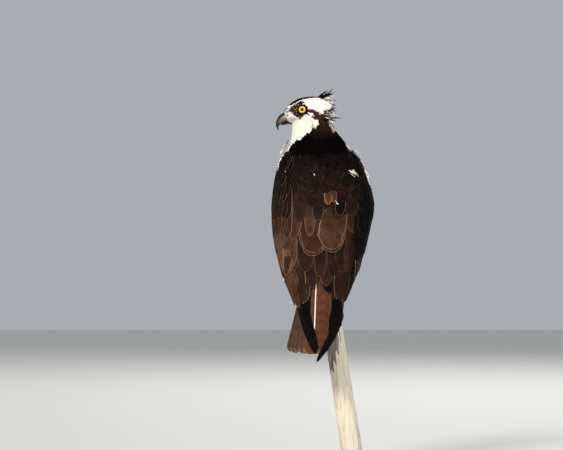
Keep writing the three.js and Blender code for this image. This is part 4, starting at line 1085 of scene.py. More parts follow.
# Bill: egg-shaped sections between points of the culmen and of the cutting edge, X and Z each, and half width
cereRows = [[-84, 733, -82, 699.5, 13.6], [-89, 729.6, -84.6, 699.4, 11.6], [-93.6, 725.4, -87, 699.6, 10],
            [-96.2, 719.8, -87.8, 700, 8.6]]
billRows = [[-95.8, 719.5, -87.4, 699.9, 8.3], [-103.2, 714.8, -94.4, 697.9, 7.3],
            [-108.4, 708.4, -99.8, 696.2, 6.0], [-111.7, 700.6, -104, 694.4, 4.5],
            [-112.3, 693.6, -106.4, 691, 3.0], [-110.6, 687.4, -107, 686.8, 1.8],
            [-107.0, 682.0, -106.6, 682.2, 0.5]]
jawRows = [[-80, 700.6, -80, 694.4, 8], [-88, 700, -87, 694.8, 6.4], [-95, 697.9, -94, 694, 5],
           [-99.5, 696.2, -99, 693.2, 3.6], [-102.6, 694.6, -102, 693.0, 1.6]]


# Rings: width * cos, narrower above by the pinch, and height * sin with a ridge along the top
def billRings(rows, count, cols, pinch=0.28, ridge=0.0):
    table = pathThrough(rows, count)
    top = np.stack([table[:, 0], np.full(count, headPlane), table[:, 1]], -1)
    low = np.stack([table[:, 2], np.full(count, headPlane), table[:, 3]], -1)
    middle, upward = (top + low) / 2, (top - low) / 2
    a = np.linspace(0, 2 * np.pi, cols, endpoint=False)
    width = table[:, 4:5] * np.cos(a)[None] * (1 - pinch * np.sin(a))[None]
    height = np.sin(a) + ridge * np.clip(np.sin(a), 0, 1) ** 6
    sideways = np.array([0, 1.0, 0]) * width[..., None]
    return middle[:, None] + upward[:, None] * height[None, :, None] + sideways


# Head coat: small feathers that run back from the bill, and longer ones over the nape
headCoat = {"rows": 42, "across": 2.5}


# Centre of an eye, sunk below the side of the head, and the way it looks
def eyePlace(side):
    bottom, top, half = rowsAt(headRows, eye["x"])
    rise = (eye["z"] - (bottom + top) / 2) / ((top - bottom) / 2)
    surface = half * math.sqrt(1 - rise * rise)
    out = np.array([-math.sin(math.radians(eye["turn"])), side * math.cos(math.radians(eye["turn"])), 0.1])
    return np.array([eye["x"], headPlane + side * (surface - eye["sunk"]), eye["z"]]), unit(out)


# Roots at even steps on each ellipse, none over eye and cere; length and width grow towards the nape
def buildHeadCoat():
    xs, angles = [], []
    for k, x in enumerate(np.linspace(-86, -5, headCoat["rows"])):
        bottom, top, half = rowsAt(headRows, x)
        count = int(round(math.pi * (half + (top - bottom) / 2) / headCoat["across"]))
        a = (np.arange(count) + 0.5 * (k % 2)) / count * 360
        angles.append(a + rng.uniform(-0.35, 0.35, count) * 360 / count)
        xs.append(np.full(count, x) + rng.uniform(-0.9, 0.9, count))
    x, a = np.concatenate(xs), np.concatenate(angles)
    p = headPoint(x, a)
    reach = np.stack([np.hypot(p[:, 0] + step - eye["x"], p[:, 2] - eye["z"]) for step in (0, 2.5, 5)])
    bare = (reach.min(0) < 10.4) & (np.abs(p[:, 1] - headPlane) > 12)
    cereZone = (p[:, 0] < -86.5) & (p[:, 2] > 699)
    keep = ~bare & ~cereZone
    x, a, p = x[keep], a[keep], p[keep]
    n = len(x)
    length = np.interp(x, [-88, -70, -45, -5], [3.6, 6.0, 10, 14]) * rng.uniform(0.8, 1.25, n)
    half = np.interp(x, [-88, -70, -45, -5], [1.3, 1.9, 2.8, 3.4]) * rng.uniform(0.85, 1.15, n)
    # below the middle of the side the feathers turn down the throat
    down = 1 - smooth(694, 716, p[:, 2])
    way = np.stack([np.ones(n), 0 * x, -0.15 - 0.75 * down], -1)
    normal = unit(onHead(x, a, np.ones(n)) - onHead(x, a, np.zeros(n)))
    way = unit(way - normal * np.sum(way * normal, -1, keepdims=True))
    noise = rng.uniform(-1, 1, n)
    tint = plumage(p + way * (length * 0.5)[:, None], noise)
    tint = tint * rng.uniform(0.95, 1.03, n)[:, None]
    lift = np.interp(x, [-88, -60, -20, -5], [0.3, 0.4, 0.8, 1.8])
    root = p - normal * 1.8
    bend = -normal * (length * 0.10)[:, None]
    dirs = unit(way + normal * ((lift + 1.8) / length)[:, None])
    coat = freeVanes(root, dirs, normal, length, half, bend, detail="small", tint=tint, rough=0.14,
                     crown=0.1, thick=0.25, tipFrom=0.3, tipPower=1.4, rootShade=(0.9, 1.01))
    place = np.stack([(a / 360) * 0.98, (x + 92) / 100], -1)
    forehead, foreheadPlace = foreheadFeathers()
    featherPiece("coat_head", [coat, forehead], coatMat, places=[place, foreheadPlace])


# Short feathers over the back of the cere, in rows of its own rings
def foreheadFeathers():
    rings = billRings(cereRows, 30, 60)
    i, j = [grid.ravel() for grid in np.meshgrid(np.arange(0, 23, 2), np.arange(0, 60, 2), indexing="ij")]
    high = np.sin(j / 60 * 2 * np.pi)
    keep = high > np.interp(i, [0, 22], [-0.15, 0.62])
    i, j = i[keep], (j[keep] + rng.integers(0, 2, keep.sum())) % 60
    n = len(i)
    root = rings[i, j]
    along = rings[np.minimum(i + 1, 29), j] - rings[np.maximum(i - 1, 0), j]
    along = unit(along * np.sign(along[:, :1]))
    normal = unit(np.cross(along, rings[i, (j + 1) % 60] - rings[i, j - 1]))
    normal = normal * np.sign(np.sum(normal * (root - np.array([-80.0, headPlane, 708.0])), -1,
                                     keepdims=True))
    way = unit(along + rng.normal(0, 0.1, (n, 3))) + 0.28 * normal
    pale = rng.random(n) < np.interp(root[:, 0], [-94, -90, -84], [0.55, 0.95, 0.95])
    tint = np.where(pale[:, None], colours["white"], srgb(92, 74, 58)) * rng.uniform(0.9, 1.03, (n, 1))
    spots = np.stack([j / 60 * 0.98, 0.05 - i * 0.002], -1)
    return freeVanes(root - normal * 0.7, way, normal, rng.uniform(3.6, 5.6, n),
                     1.15 * rng.uniform(0.8, 1.2, n), -normal * 0.4, detail="small", tint=tint, rough=0.1,
                     crown=0.1, thick=0.25, tipFrom=0.3, tipPower=1.5), spots


# Crest and nape: pointed locks in rows; the upper ones stand up with dark tips, the lower ones splay out
crest = {"rows": [
    # count, X and height of the roots, spread, rise per length, length, half width, share of dark tips
    {"n": 24, "x": -20, "z": 748.5, "spread": 7, "rise": 0.55, "length": 23, "half": 3.0, "dark": 1.0,
     "from": -0.2},
    {"n": 5, "x": -16, "z": 749, "spread": 4, "rise": 1.2, "length": 23, "half": 1.3, "dark": 1.0,
     "from": -0.2},
    {"n": 13, "x": -14, "z": 746, "spread": 12, "rise": 0.34, "length": 15, "half": 3.0, "dark": 0.35,
     "from": 0.5},
    {"n": 17, "x": -11, "z": 741, "spread": 16, "rise": 0.12, "length": 13, "half": 3.0, "dark": 0.25,
     "from": 0.55},
    {"n": 17, "x": -10, "z": 734, "spread": 18, "rise": 0.02, "length": 13, "half": 3.0, "dark": 0.35,
     "from": 0.5},
    {"n": 13, "x": -15, "z": 726, "spread": 20, "rise": 0.06, "length": 22, "half": 2.2, "dark": 0.9,
     "from": -0.1},
    {"n": 13, "x": -15, "z": 720, "spread": 21, "rise": 0.0, "length": 22, "half": 2.2, "dark": 0.7,
     "from": -0.1},
    {"n": 15, "x": -10, "z": 715, "spread": 21, "rise": -0.08, "length": 16, "half": 2.9, "dark": 0.05,
     "from": 0.6},
    {"n": 13, "x": -13, "z": 710, "spread": 21, "rise": -0.1, "length": 21, "half": 2.4, "dark": 1.0,
     "from": -0.2},
    {"n": 15, "x": -9, "z": 705, "spread": 15, "rise": -0.3, "length": 17, "half": 3.0, "dark": 0.0,
     "from": 0.6},
    {"n": 13, "x": -8, "z": 698, "spread": 12, "rise": -0.7, "length": 17, "half": 3.0, "dark": 0.0,
     "from": 0.5},
    {"n": 11, "x": -6, "z": 690, "spread": 10, "rise": -1.2, "length": 16, "half": 3.0, "dark": 0.05,
     "from": 0.5},
]}


# Locks in rows across the head, tips darkened from a given share of their length
def buildCrest():
    sets = []
    for k, row in enumerate(crest["rows"]):
        n = row["n"]
        side = np.linspace(-1, 1, n) + rng.normal(0, 0.05, n)
        root = np.stack([row["x"] - 9 * side**2 + rng.normal(0, 3, n), headPlane + side * row["spread"],
                         row["z"] - 5 * side**2 + rng.normal(0, 1, n)], -1)
        way = np.stack([np.ones(n), 0.38 * side, row["rise"] + rng.normal(0, 0.13, n)], -1)
        length = row["length"] * (1 - 0.12 * side**2) * rng.uniform(0.6, 1.15, n)
        up = np.stack([-way[:, 2], rng.normal(0, 1.3, n), np.ones(n)], -1)
        s = stationSets["medium"]
        darkTip = smooth(row["from"] - 0.1, row["from"] + 0.3, s)[None, :, None]
        darkTip = darkTip * (rng.random((n, 1, 1)) < row["dark"])
        base = np.broadcast_to(colours["white"], (n, len(s), 3, 3)) * rng.uniform(0.88, 1.05, (n, 1, 1, 1))
        tint = base * (1 - darkTip[..., None]) + colours["darkBrown"] * darkTip[..., None]
        bend = np.stack([0 * side, 0 * side, np.full(n, -2.0 + 1.5 * (row["rise"] > 0.5))], -1)
        bend = bend + rng.normal(0, 1.0, (n, 3))
        sets.append(freeVanes(root, way, up, length, row["half"] * rng.uniform(0.8, 1.2, n), bend,
                              tint=tint, rough=0.12, tipFrom=0.2, tipPower=1.3, thick=0.5, crown=0.4))
    featherPiece("crest", sets, coatMat)


buildHeadCoat()
buildCrest()


# White tufts of the breast that show past the shoulders, and two loose ones on the back:
# X and height on the shell, direction down or out, count, length
tufts = [[-82, 662, -0.6, 9, 15], [-87, 654, -0.7, 10, 15], [-92, 645, -0.8, 10, 14],
         [-97, 635, -0.7, 8, 13], [-100, 626, -0.6, 6, 12], [-103, 617, -0.4, 4, 11],
         [-93, 601, -0.4, 1, 5], [-38, 602, 0.3, 1, 5], [47, 642, 0.7, 5, 12], [54, 634, 0.8, 5, 12],
         [60, 624, 0.8, 6, 14], [64, 612, 0.6, 6, 13], [68, 602, 0.6, 8, 14], [71, 592, 0.5, 7, 13],
         [73, 582, 0.3, 6, 12], [34, 599, 0.95, 5, 15], [41, 601, 0.2, 5, 14], [6, 539, 0.9, 2, 7],
         [-93, 388, -0.2, 2, 5], [-81, 341, -0.2, 2, 6]]


# Narrow vanes in groups at the places of the table, laid along the shell and raised a little
def buildTufts():
    sets = []
    for x, z, lean, n, length in tufts:
        mid, half = rowsAt(shellRows, z)[:2]
        angle = float(shellAngle(z, np.clip(x, mid - 0.985 * half, mid + 0.985 * half)))
        at = angle + rng.normal(0, 2.0, n)
        high = z + rng.normal(0, 3.0, n)
        root = onShell(high, at, np.full(n, 4.6 if abs(x + 20) < 75 else 0.8))
        normal = unit(onShell(high, at, np.ones(n)) - onShell(high, at, np.zeros(n)))
        way = np.stack([lean + rng.normal(0, 0.2, n), rng.normal(0, 0.1, n), np.full(n, -1.0)], -1)
        way = unit(way - normal * np.sum(way * normal, -1, keepdims=True))
        way = way + normal * rng.uniform(0.1, 0.3, n)[:, None]
        dark = (rng.random(n) < 0.3)[:, None] & (x < -75 and z > 600)
        tint = np.where(dark, colours["darkBrown"], colours["white"] * rng.uniform(0.9, 1.05, (n, 1)))
        sets.append(freeVanes(root, way, normal + rng.normal(0, 0.7, (n, 3)),
                              length * rng.uniform(0.6, 1.15, n),
                              (0.9 if abs(x + 20) < 75 else 1.9) * rng.uniform(0.8, 1.2, n), -normal * 1.2,
                              tint=tint, tipFrom=0.25, tipPower=1.4, rough=0.12, thick=0.7))
    featherPiece("breast_tufts", sets, coatMat)


buildTufts()


# Eyes: a ball whose polar angle from the way it looks gives pupil, iris and dark rim
def eyeMaterial():
    material, shader, node, link = nodeTool("eye")
    shader.inputs["Roughness"].default_value = 0.12
    shader.inputs["Specular IOR Level"].default_value = 0.16
    polar = node("Attribute", attribute_name="vane")
    parts = node("SeparateXYZ", {0: polar.outputs["Vector"]})
    ramp = node("ValToRGB", {"Fac": parts.outputs[0]})
    stops = [(0.0, (0.003, 0.003, 0.003)), (0.155, (0.003, 0.003, 0.003)),
             (0.175, tuple(srgb(186, 92, 20))), (0.215, tuple(srgb(236, 176, 44))),
             (0.28, tuple(srgb(250, 216, 92))), (0.375, tuple(srgb(244, 206, 78))),
             (0.4, (0.006, 0.005, 0.004)), (1.0, (0.006, 0.005, 0.004))]
    ramp.color_ramp.elements[0].position = stops[0][0]
    ramp.color_ramp.elements[0].color = (*stops[0][1], 1)
    ramp.color_ramp.elements[1].position = stops[-1][0]
    ramp.color_ramp.elements[1].color = (*stops[-1][1], 1)
    for position, colour in stops[1:-1]:
        ramp.color_ramp.elements.new(position).color = (*[float(c) for c in colour], 1)
    rays = times(node, parts.outputs[1], 60.0)
    sine = node("Math", {0: rays.outputs[0]}, operation="SINE")
    tone = ranged(node, sine.outputs[0], -1.0, 1.0, 0.86, 1.08)
    colour = node("VectorMath", {0: ramp.outputs["Color"], "Scale": tone.outputs[0]}, operation="SCALE")
    link(colour.outputs[0], "Base Color")
    return material


# Horn: two tones mixed by noise, or the tint times a noise, with uneven gloss
def hornMaterial(name, rough, dark=None, pale=None, paleAmount=0.0):
    material, shader, node, link = nodeTool(name)
    shader.inputs["Specular IOR Level"].default_value = 0.4
    place = node("TexCoord")
    noise = node("TexNoise", {"Vector": place.outputs["Object"], "Scale": 140.0, "Detail": 5.0})
    fine = node("TexNoise", {"Vector": place.outputs["Object"], "Scale": 900.0, "Detail": 2.0})
    if dark is None:
        tint = node("Attribute", attribute_name="tint")
        uneven = ranged(node, noise.outputs["Fac"], 0.3, 0.7, 0.8, 1.15)
        shaded = node("VectorMath", {0: tint.outputs["Color"], "Scale": uneven.outputs[0]},
                      operation="SCALE")
        link(shaded.outputs[0], "Base Color")
    else:
        mix = ranged(node, noise.outputs["Fac"], 0.35, 0.7, 0.0, paleAmount)
        colour = mixed(node, mix.outputs[0], rgba(dark), rgba(pale))
        link(colour.outputs["Result"], "Base Color")
    roughness = node("MapRange", {"Value": fine.outputs["Fac"], "To Min": rough - 0.07,
                                  "To Max": rough + 0.12})
    link(roughness.outputs[0], "Roughness")
    bump = node("Bump", {"Height": fine.outputs["Fac"], "Strength": 0.15, "Distance": 0.0004})
    link(bump.outputs["Normal"], "Normal")
    return material


hornMat = hornMaterial("horn", 0.34, srgb(18, 15, 14), srgb(60, 52, 45), 0.5)
billMat = hornMaterial("billHorn", 0.3)
cereMat = hornMaterial("cere", 0.55)
lidMat = hornMaterial("eyeSkin", 0.6, srgb(12, 9, 8), srgb(22, 17, 14), 0.4)
lidShader = lidMat.node_tree.nodes["Principled BSDF"]
lidShader.inputs["Specular IOR Level"].default_value = 0.1


# Sphere about an axis: point = centre + radius * (cos(polar) * axis + sin(polar) * (across cos + up sin))
def buildEye(name, side):
    centre, out = eyePlace(side)
    across = unit(np.cross(out, [0, 0, 1.0]))
    up = np.cross(across, out)
    polar = np.linspace(0.02, np.pi - 0.02, 40)
    turn = np.linspace(0, 2 * np.pi, 56, endpoint=False)
    bulge = eye["radius"] + 0.9 * np.exp(-(polar / 0.55) ** 2)
    ring = across[None, None] * np.cos(turn)[None, :, None] + up[None, None] * np.sin(turn)[None, :, None]
    rings = centre + bulge[:, None, None] * (np.cos(polar)[:, None, None] * out
                                             + np.sin(polar)[:, None, None] * ring)
    points, faces, uv = closedRings(rings)
    angle = np.concatenate([[0], np.repeat(polar / 1.7, len(turn)), [1.8]])
    spin = np.concatenate([[0], np.tile(turn, len(polar)), [0]])
    vane = np.stack([angle, spin, 0 * angle], -1)
    makePiece("eyeball_" + name, points, faces, eyeMat, ("eye_" + name,), vane=vane, uv=uv)
    # bare black rim round the eye: two rings, one on the lid edge and a wider one sunk in the face
    rimPath = centre + out * math.sqrt(eye["radius"] ** 2 - 7.9**2)
    a = np.linspace(0, 2 * np.pi, 64, endpoint=False)
    b = np.linspace(0, 2 * np.pi, 14, endpoint=False)
    radial = across[None] * np.cos(a)[:, None] + up[None] * np.sin(a)[:, None]
    brow = 1 + 0.55 * np.clip(np.sin(a), 0, 1)[:, None]
    r = 8.8 + 1.8 * np.cos(b)[None] + 0.08 * np.sin(9 * a)[:, None]
    lift = 0.5 + 1.7 * brow * np.sin(b)[None]
    torus = rimPath + radial[:, None] * r[..., None] + out * lift[..., None]
    quads = gridQuads(*torus.shape[:2], True)
    index = np.arange(64 * 14).reshape(64, 14)
    seam = np.stack([index[-1], np.roll(index[-1], -1), np.roll(index[0], -1), index[0]], -1)
    faces = outward(torus.reshape(-1, 3), np.concatenate([quads, seam]))
    grid = np.stack(np.meshgrid(np.linspace(0, 1, 14), np.linspace(0, 1, 64)), -1).reshape(-1, 2)
    makePiece("eye_rim_" + name, torus.reshape(-1, 3), faces, lidMat, uv=grid)


eyeMat = eyeMaterial()
for name, side in sides.items():
    buildEye(name, side)


# Rings of each part of the bill, with the nostril pressed into the cere and a paler side on the horn
def buildBill():
    for name, rows, material, slot, count, replaced in (
            ("bill_horn", billRows, billMat, "bill", 48, ("bill_upper",)),
            ("jaw_horn", jawRows, hornMat, "bill", 30, ("bill_lower",)),
            ("cere_skin", cereRows, cereMat, "cere", 34, ("cere",))):
        rings = billRings(rows, count, 40)
        if name == "cere_skin":
            # nostril: a slanted slit pressed into each side, with a raised rim
            x, z = rings[..., 0], rings[..., 2]
            du, dv = (x + 89.6) * 0.8 + (z - 713.4) * 0.6, (z - 713.4) * 0.8 - (x + 89.6) * 0.6
            r = np.sqrt((du / 2.9) ** 2 + (dv / 1.3) ** 2)
            push = -2.6 * np.exp(-r**3) + 0.7 * np.exp(-((r - 1.5) / 0.4) ** 2)
            rings[..., 1] += np.sign(rings[..., 1] - headPlane) * push
            tone = blend(srgb(196, 194, 188) + 0 * rings, srgb(112, 97, 80) + 0 * rings,
                         smooth(715, 721, z + 0.4 * (x + 90)))
            tone = blend(tone, srgb(226, 224, 216) + 0 * rings, 0.8 * np.exp(-((r - 1.7) / 0.6) ** 2))
            # the dark inside of the nostril is painted shade in its opening
            tone = blend(tone, srgb(34, 28, 25) + 0 * rings, 1 - smooth(0.75, 1.15, r))
        else:
            # dark horn with a paler, greyer side behind the hook, partly the horn's own tone and partly a
            # painted sheen
            along = np.linspace(0, 1, count)[:, None]
            upward = np.sin(np.linspace(0, 2 * np.pi, 40, endpoint=False))[None]
            side = np.exp(-(((upward + 0.1) / 0.55) ** 4)) * (1 - smooth(0.3, 0.62, along))
            tone = blend(srgb(20, 15, 13) + 0 * rings, srgb(106, 94, 79) + 0 * rings, 0.85 * side)
        points, faces, uv = closedRings(rings)
        tint = np.concatenate([tone[:1, 0], tone.reshape(-1, 3), tone[-1:, 0]])
        makePiece(name, points, faces, material, replaced, tint, uv=uv)


buildBill()


# Perch: rings of the leaning branch with lengthwise grain, cracks and the broken top
perch = {"top": (-4, 12, 344), "radius": 17.5, "knob": 22.5, "lean": 0.155, "leanBack": 0.02, "bottom": 40,
         "grow": 0.012}


# Middle line: leans by lean * down, with a short straight start under the top
def perchMiddle(h):
    down = perch["top"][2] - np.asarray(h, float)
    return np.stack([perch["top"][0] + perch["lean"] * down * (down / (down + 25)),
                     perch["top"][1] + perch["leanBack"] * down, np.asarray(h, float)], -1)


# Radius = base + knob * exp(-(down / 26)^2) + growth + low waves round the branch
def perchRadius(h, a):
    down = perch["top"][2] - h
    knob = (perch["knob"] - perch["radius"]) * np.exp(-((down / 26) ** 2))
    plain = perch["radius"] + knob + perch["grow"] * down
    return plain + 0.9 * np.sin(3 * a + 0.6) + 0.5 * np.sin(7 * a + h * 0.01)


# Bleached wood with long grain, mixed with a darker grey bark tone where the tint says so, which is painted
# shadow of the tail
def perchMaterial():
    material, shader, node, link = nodeTool("deadWood")
    place = node("TexCoord")
    turned = node("Mapping", {"Vector": place.outputs["Object"], "Rotation": (0.0, 0.15, 0.0),
                              "Scale": (1.0, 1.0, 0.07)})
    grain = node("TexNoise", {"Vector": turned.outputs[0], "Scale": 210.0, "Detail": 7.0,
                              "Roughness": 0.62})
    broad = node("TexNoise", {"Vector": turned.outputs[0], "Scale": 45.0, "Detail": 3.0})
    fine = node("TexNoise", {"Vector": place.outputs["Object"], "Scale": 900.0, "Detail": 3.0})
    ramp = node("ValToRGB", {"Fac": grain.outputs["Fac"]})
    ramp.color_ramp.elements[0].position = 0.27
    ramp.color_ramp.elements[0].color = rgba(srgb(92, 80, 64))
    ramp.color_ramp.elements[1].position = 0.5
    ramp.color_ramp.elements[1].color = rgba(srgb(248, 236, 212))
    ramp.color_ramp.elements.new(0.36).color = rgba(srgb(226, 210, 180))
    tint = node("Attribute", attribute_name="tint")
    # share of painted shadow of the tail, from the tint
    tailShadow = node("SeparateXYZ", {0: tint.outputs["Color"]})
    streaked = node("Math", {0: tailShadow.outputs[0], 1: broad.outputs["Fac"]}, operation="ADD")
    shadowShare = ranged(node, streaked.outputs[0], 0.85, 1.15, 0.0, 1.0)
    shadowRamp = node("ValToRGB", {"Fac": grain.outputs["Fac"]})
    shadowRamp.color_ramp.elements[0].position = 0.3
    shadowRamp.color_ramp.elements[0].color = rgba(srgb(50, 47, 38))
    shadowRamp.color_ramp.elements[1].position = 0.62
    shadowRamp.color_ramp.elements[1].color = rgba(srgb(168, 163, 146))
    shadowRamp.color_ramp.elements.new(0.46).color = rgba(srgb(100, 96, 81))
    colour = mixed(node, shadowShare.outputs[0], ramp.outputs["Color"], shadowRamp.outputs["Color"])
    link(colour.outputs["Result"], "Base Color")
    shader.inputs["Roughness"].default_value = 0.82
    height = node("Math", {0: grain.outputs["Fac"], 1: fine.outputs["Fac"]}, operation="ADD")
    bump = node("Bump", {"Height": height.outputs[0], "Strength": 0.7, "Distance": 0.0012})
    link(bump.outputs["Normal"], "Normal")
    return material


# Rings with cracks as narrow dents exp(-(angle / width)^2), knots as round dents, and painted shadow of the
# tail
def buildPerch():
    rows, cols = 230, 130
    h = np.linspace(perch["top"][2], perch["bottom"], rows)[:, None]
    a = np.linspace(0, 2 * np.pi, cols, endpoint=False)[None]
    r = perchRadius(h, a)
    wander = 0.35 * np.sin(h / 31) + 0.2 * np.sin(h / 13 + 1.0)
    for k, (at, depth, width) in enumerate(((0.4, 2.0, 0.05), (1.7, 1.2, 0.04), (2.9, 1.6, 0.05),
                                            (4.1, 2.2, 0.045), (5.2, 1.3, 0.04), (4.75, 1.0, 0.03))):
        off = (a - at - 0.3 * wander + np.pi) % (2 * np.pi) - np.pi
        r = r - depth * np.exp(-(off / width) ** 2) * (0.55 + 0.45 * np.sin(h / (37 + 9 * k) + k))
    r = r + 0.28 * np.sin(23 * a + 5 * wander) + 0.18 * np.sin(41 * a + 9 * wander + 1)
    for atH, atA, size in ((180, 4.1, 4.2), (177, 5.6, 3.4), (262, 1.3, 3.0), (110, 3.6, 3.2)):
        off = (a - atA + np.pi) % (2 * np.pi) - np.pi
        far = np.sqrt(((h - atH) / size) ** 2 + (off * 19 / (size * 0.7)) ** 2)
        r = r - 3.6 * np.exp(-far**2) + 0.7 * np.exp(-((far - 1.7) / 0.6) ** 2)
    r[0] *= 0.86
    r[1] *= 0.93
    r[2] *= 0.97
    middle = perchMiddle(np.broadcast_to(h, r.shape))
    rings = middle + np.stack([r * np.cos(a), r * np.sin(a), 0 * r], -1)
    points, faces, uv = closedRings(rings)
    # painted shadow of the tail: grey bark tone towards -X, which narrows downwards
    limit = np.interp(h, [186, 204, 264, 344], [-1.5, -0.6, 0.5, 0.75])
    limit = limit + 0.12 * wander + 0.22 * np.sin(13 * a + 0.5 * np.sin(h / 9))
    tailShadow = ((1 - smooth(limit - 0.14, limit + 0.14, np.cos(a)))
               * (1 - smooth(0.2, 0.7, np.sin(a)))).reshape(-1, 1)
    tailShadow = np.concatenate([tailShadow[:1], tailShadow, tailShadow[-1:]]) * np.ones((1, 3))
    makePiece("branch", points, faces, perchMaterial(), ("perch",), tailShadow, uv=uv)
    print("stage: branch")


buildPerch()


# Feet: tarsus, toes that grip the top of the branch, and a claw on each
foot = {"gap": 0.4, "radius": 5.2, "hang": 24, "tipRadius": 4.1, "spread": 13, "angles": [17, 52, 121, 160],
        "claw": 26}


# Scales: cells with darker grooves
def footMaterial():
    material, shader, node, link = nodeTool("footScales")
    place = node("TexCoord")
    cells = node("TexVoronoi", {"Vector": place.outputs["Object"], "Scale": 420.0},
                 feature="DISTANCE_TO_EDGE")
    groove = node("MapRange", {"Value": cells.outputs["Distance"], "From Min": 0.0, "From Max": 0.12})
    noise = node("TexNoise", {"Vector": place.outputs["Object"], "Scale": 120.0, "Detail": 3.0})
    base = mixed(node, noise.outputs["Fac"], rgba(srgb(150, 160, 154)), rgba(srgb(188, 192, 182)))
    colour = mixed(node, groove.outputs[0], rgba(srgb(86, 90, 86)), base.outputs["Result"])
    link(colour.outputs["Result"], "Base Color")
    shader.inputs["Roughness"].default_value = 0.55
    bump = node("Bump", {"Height": groove.outputs[0], "Strength": 0.8, "Distance": 0.0006})
    link(bump.outputs["Normal"], "Normal")
    return material


# Toe: from the ankle outwards over the rim of the branch and down its side
def toePath(side, angle):
    way = np.array([side * math.sin(math.radians(angle)), math.cos(math.radians(angle)), 0])
    start = np.array([perch["top"][0] + side * foot["spread"], perch["top"][1],
                      perch["top"][2] + foot["radius"] + foot["gap"]])

    def onRim(out, down):
        middle = perchMiddle(perch["top"][2] - down)
        r = float(perchRadius(perch["top"][2] - down, math.atan2(way[1], way[0]))) + out
        return middle + way * r
    rim = onRim(-1.5, 0)
    rim[2] = perch["top"][2] + foot["radius"] + foot["gap"] - 0.6
    return [start, start + (rim - start) * 0.6, rim, onRim(foot["radius"] + 1.2, 7),
            onRim(foot["tipRadius"] + foot["gap"] + 0.4, foot["hang"])]


# Tubes for tarsus and toes, with knuckles as small bumps of the radius, and claws as bent cones
def buildFeet():
    footMat = footMaterial()
    for name, side in sides.items():
        heel = np.array([thigh["mid"] + side * thigh["heel"][0], thigh["heel"][1], thigh["heel"][2] + 4])
        ankle = np.array([perch["top"][0] + side * foot["spread"], perch["top"][1],
                          perch["top"][2] + foot["radius"] + foot["gap"] + 4])
        path = pathThrough([heel, (heel + ankle) / 2 + [0, -2, 0], ankle], 60)
        t = np.linspace(0, 1, 60)
        radii = 5.4 + 2.2 * (1 - smooth(0, 0.25, t)) + 2.0 * smooth(0.8, 1, t) + 0.25 * np.sin(t * 95)
        parts = [closedRings(tubeRings(path, radii, 28))]
        for angle in foot["angles"]:
            path = pathThrough(toePath(side, angle), 56)
            t = np.linspace(0, 1, 56)
            knuckle = 0.55 * np.exp(-((t - 0.35) / 0.09) ** 2) + 0.6 * np.exp(-((t - 0.68) / 0.09) ** 2)
            radii = 5.2 - 1.1 * t + knuckle + 0.2 * np.sin(t * 85)
            parts.append(closedRings(tubeRings(path, radii, 22)))
        points, faces, uv = joined(parts)
        makePiece("foot_skin_" + name, points, faces, footMat, ("foot_" + name,), uv=uv)
        for k, angle in enumerate(foot["angles"]):
            end = np.array(toePath(side, angle)[-1])
            middle = perchMiddle(end[2])
            out = unit(np.array([end[0] - middle[0], end[1] - middle[1], 0]))
            s = np.linspace(0, 1, 26)
            fall = np.array([0, 0, -1.0]) * (foot["claw"] * s * 0.9 - 0.6)[:, None]
            path = end + out * (np.sin(np.pi * s) * 4.2 - 1.6 * s)[:, None] + fall
            radii = 3.1 * (1 - s**1.4) + 0.35
            points, faces, uv = closedRings(tubeRings(path, radii, 18))
            makePiece("talon_%s_%d" % (name, k + 1), points, faces, hornMat,
                      ("claw_%s_%d" % (name, k + 1),), uv=uv)
    print("stage: feet")


buildFeet()


# Stand: the solids stay, with looks of wood, by grain stretched along the board, and metal
def woodMaterial():
    material, shader, node, link = nodeTool("standWood")
    place = node("TexCoord")
    turned = node("Mapping", {"Vector": place.outputs["Object"], "Scale": (1.0, 7.0, 7.0)})
    grain = node("TexNoise", {"Vector": turned.outputs[0], "Scale": 22.0, "Detail": 6.0})
    colour = mixed(node, grain.outputs["Fac"], rgba(srgb(44, 29, 21)), rgba(srgb(88, 60, 42)))
    link(colour.outputs["Result"], "Base Color")
    shader.inputs["Roughness"].default_value = 0.36
    bump = node("Bump", {"Height": grain.outputs["Fac"], "Strength": 0.1, "Distance": 0.0005})
    link(bump.outputs["Normal"], "Normal")
    return material


# Brushed metal: noise stretched across the rod gives tone and roughness
def steelMaterial():
    material, shader, node, link = nodeTool("rodSteel")
    place = node("TexCoord")
    turned = node("Mapping", {"Vector": place.outputs["Object"], "Scale": (1.0, 1.0, 40.0)})
    brush = node("TexNoise", {"Vector": turned.outputs[0], "Scale": 60.0, "Detail": 3.0})
    rough = node("MapRange", {"Value": brush.outputs["Fac"], "To Min": 0.25, "To Max": 0.45})
    link(rough.outputs[0], "Roughness")
    tone = mixed(node, brush.outputs["Fac"], rgba(srgb(140, 142, 146)), rgba(srgb(170, 172, 176)))
    link(tone.outputs["Result"], "Base Color")
    shader.inputs["Metallic"].default_value = 1.0
    return material


for node, material in (("stand_base", woodMaterial()), ("stand_rod", steelMaterial())):
    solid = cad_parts[node]
    for entry in (solid if hasattr(solid, "material_slots") else bpy.data.objects[node]).material_slots:
        entry.material = material


# Studio: pale floor, soft key from upper left behind the camera, fill, back light and pale surroundings
studio = {"target": (-0.101, 0.0, 0.494), "distance": 10.0, "rise": 1.5, "width": 1.126}


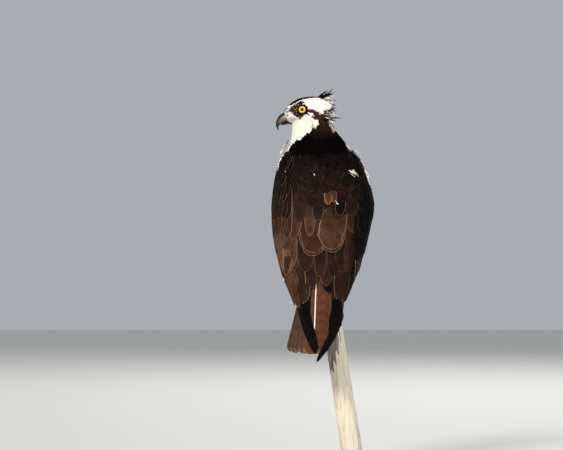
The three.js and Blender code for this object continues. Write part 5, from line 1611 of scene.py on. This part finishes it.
# Floor, three lights aimed at the bird, pale world, and the camera at the photo's place
def buildStudio():
    mesh = bpy.data.meshes.new("floor")
    mesh.from_pydata([(-6, -6, 0), (6, -6, 0), (6, 6, 0), (-6, 6, 0)], [], [(0, 1, 2, 3)])
    floor = bpy.data.objects.new("floor", mesh)
    bpy.context.scene.collection.objects.link(floor)
    material, shader, node, link = nodeTool("paleFloor")
    shader.inputs["Base Color"].default_value = (0.62, 0.62, 0.6, 1)
    shader.inputs["Roughness"].default_value = 0.7
    mesh.materials.append(material)
    for name, place, size, power, colour in (
            ("key", (-2.6, -5.2, 3.9), 1.7, 390, (1.0, 0.96, 0.9)),
            ("fill", (3.4, -2.8, 1.4), 2.2, 42, (0.95, 0.97, 1.0)),
            ("back", (0.6, 3.4, 2.4), 2.0, 70, (1.0, 0.98, 0.95))):
        light = bpy.data.lights.new(name, "AREA")
        light.shape = "DISK"
        light.size = size
        light.energy = power
        light.color = colour
        lamp = bpy.data.objects.new(name, light)
        lamp.location = place
        lamp.rotation_euler = (Vector((-0.05, 0, 0.5)) - Vector(place)).to_track_quat("-Z", "Y").to_euler()
        bpy.context.scene.collection.objects.link(lamp)
    world = bpy.data.worlds.new("studio")
    world.use_nodes = True
    world.node_tree.nodes["Background"].inputs["Color"].default_value = (0.86, 0.9, 0.95, 1)
    world.node_tree.nodes["Background"].inputs["Strength"].default_value = 0.46
    bpy.context.scene.world = world
    bpy.context.scene.view_settings.view_transform = "Standard"
    target = Vector(studio["target"])
    tilt = math.radians(studio["rise"])
    camera = bpy.data.cameras.new("camera")
    camera.sensor_width = 36
    camera.lens = 36 * studio["distance"] / studio["width"]
    camera.clip_end = 100
    viewer = bpy.data.objects.new("camera", camera)
    viewer.location = target + Vector((0, -math.cos(tilt), math.sin(tilt))) * studio["distance"]
    viewer.rotation_euler = (target - viewer.location).to_track_quat("-Z", "Y").to_euler()
    bpy.context.scene.collection.objects.link(viewer)
    bpy.context.scene.camera = viewer


buildStudio()
print("stage: done")
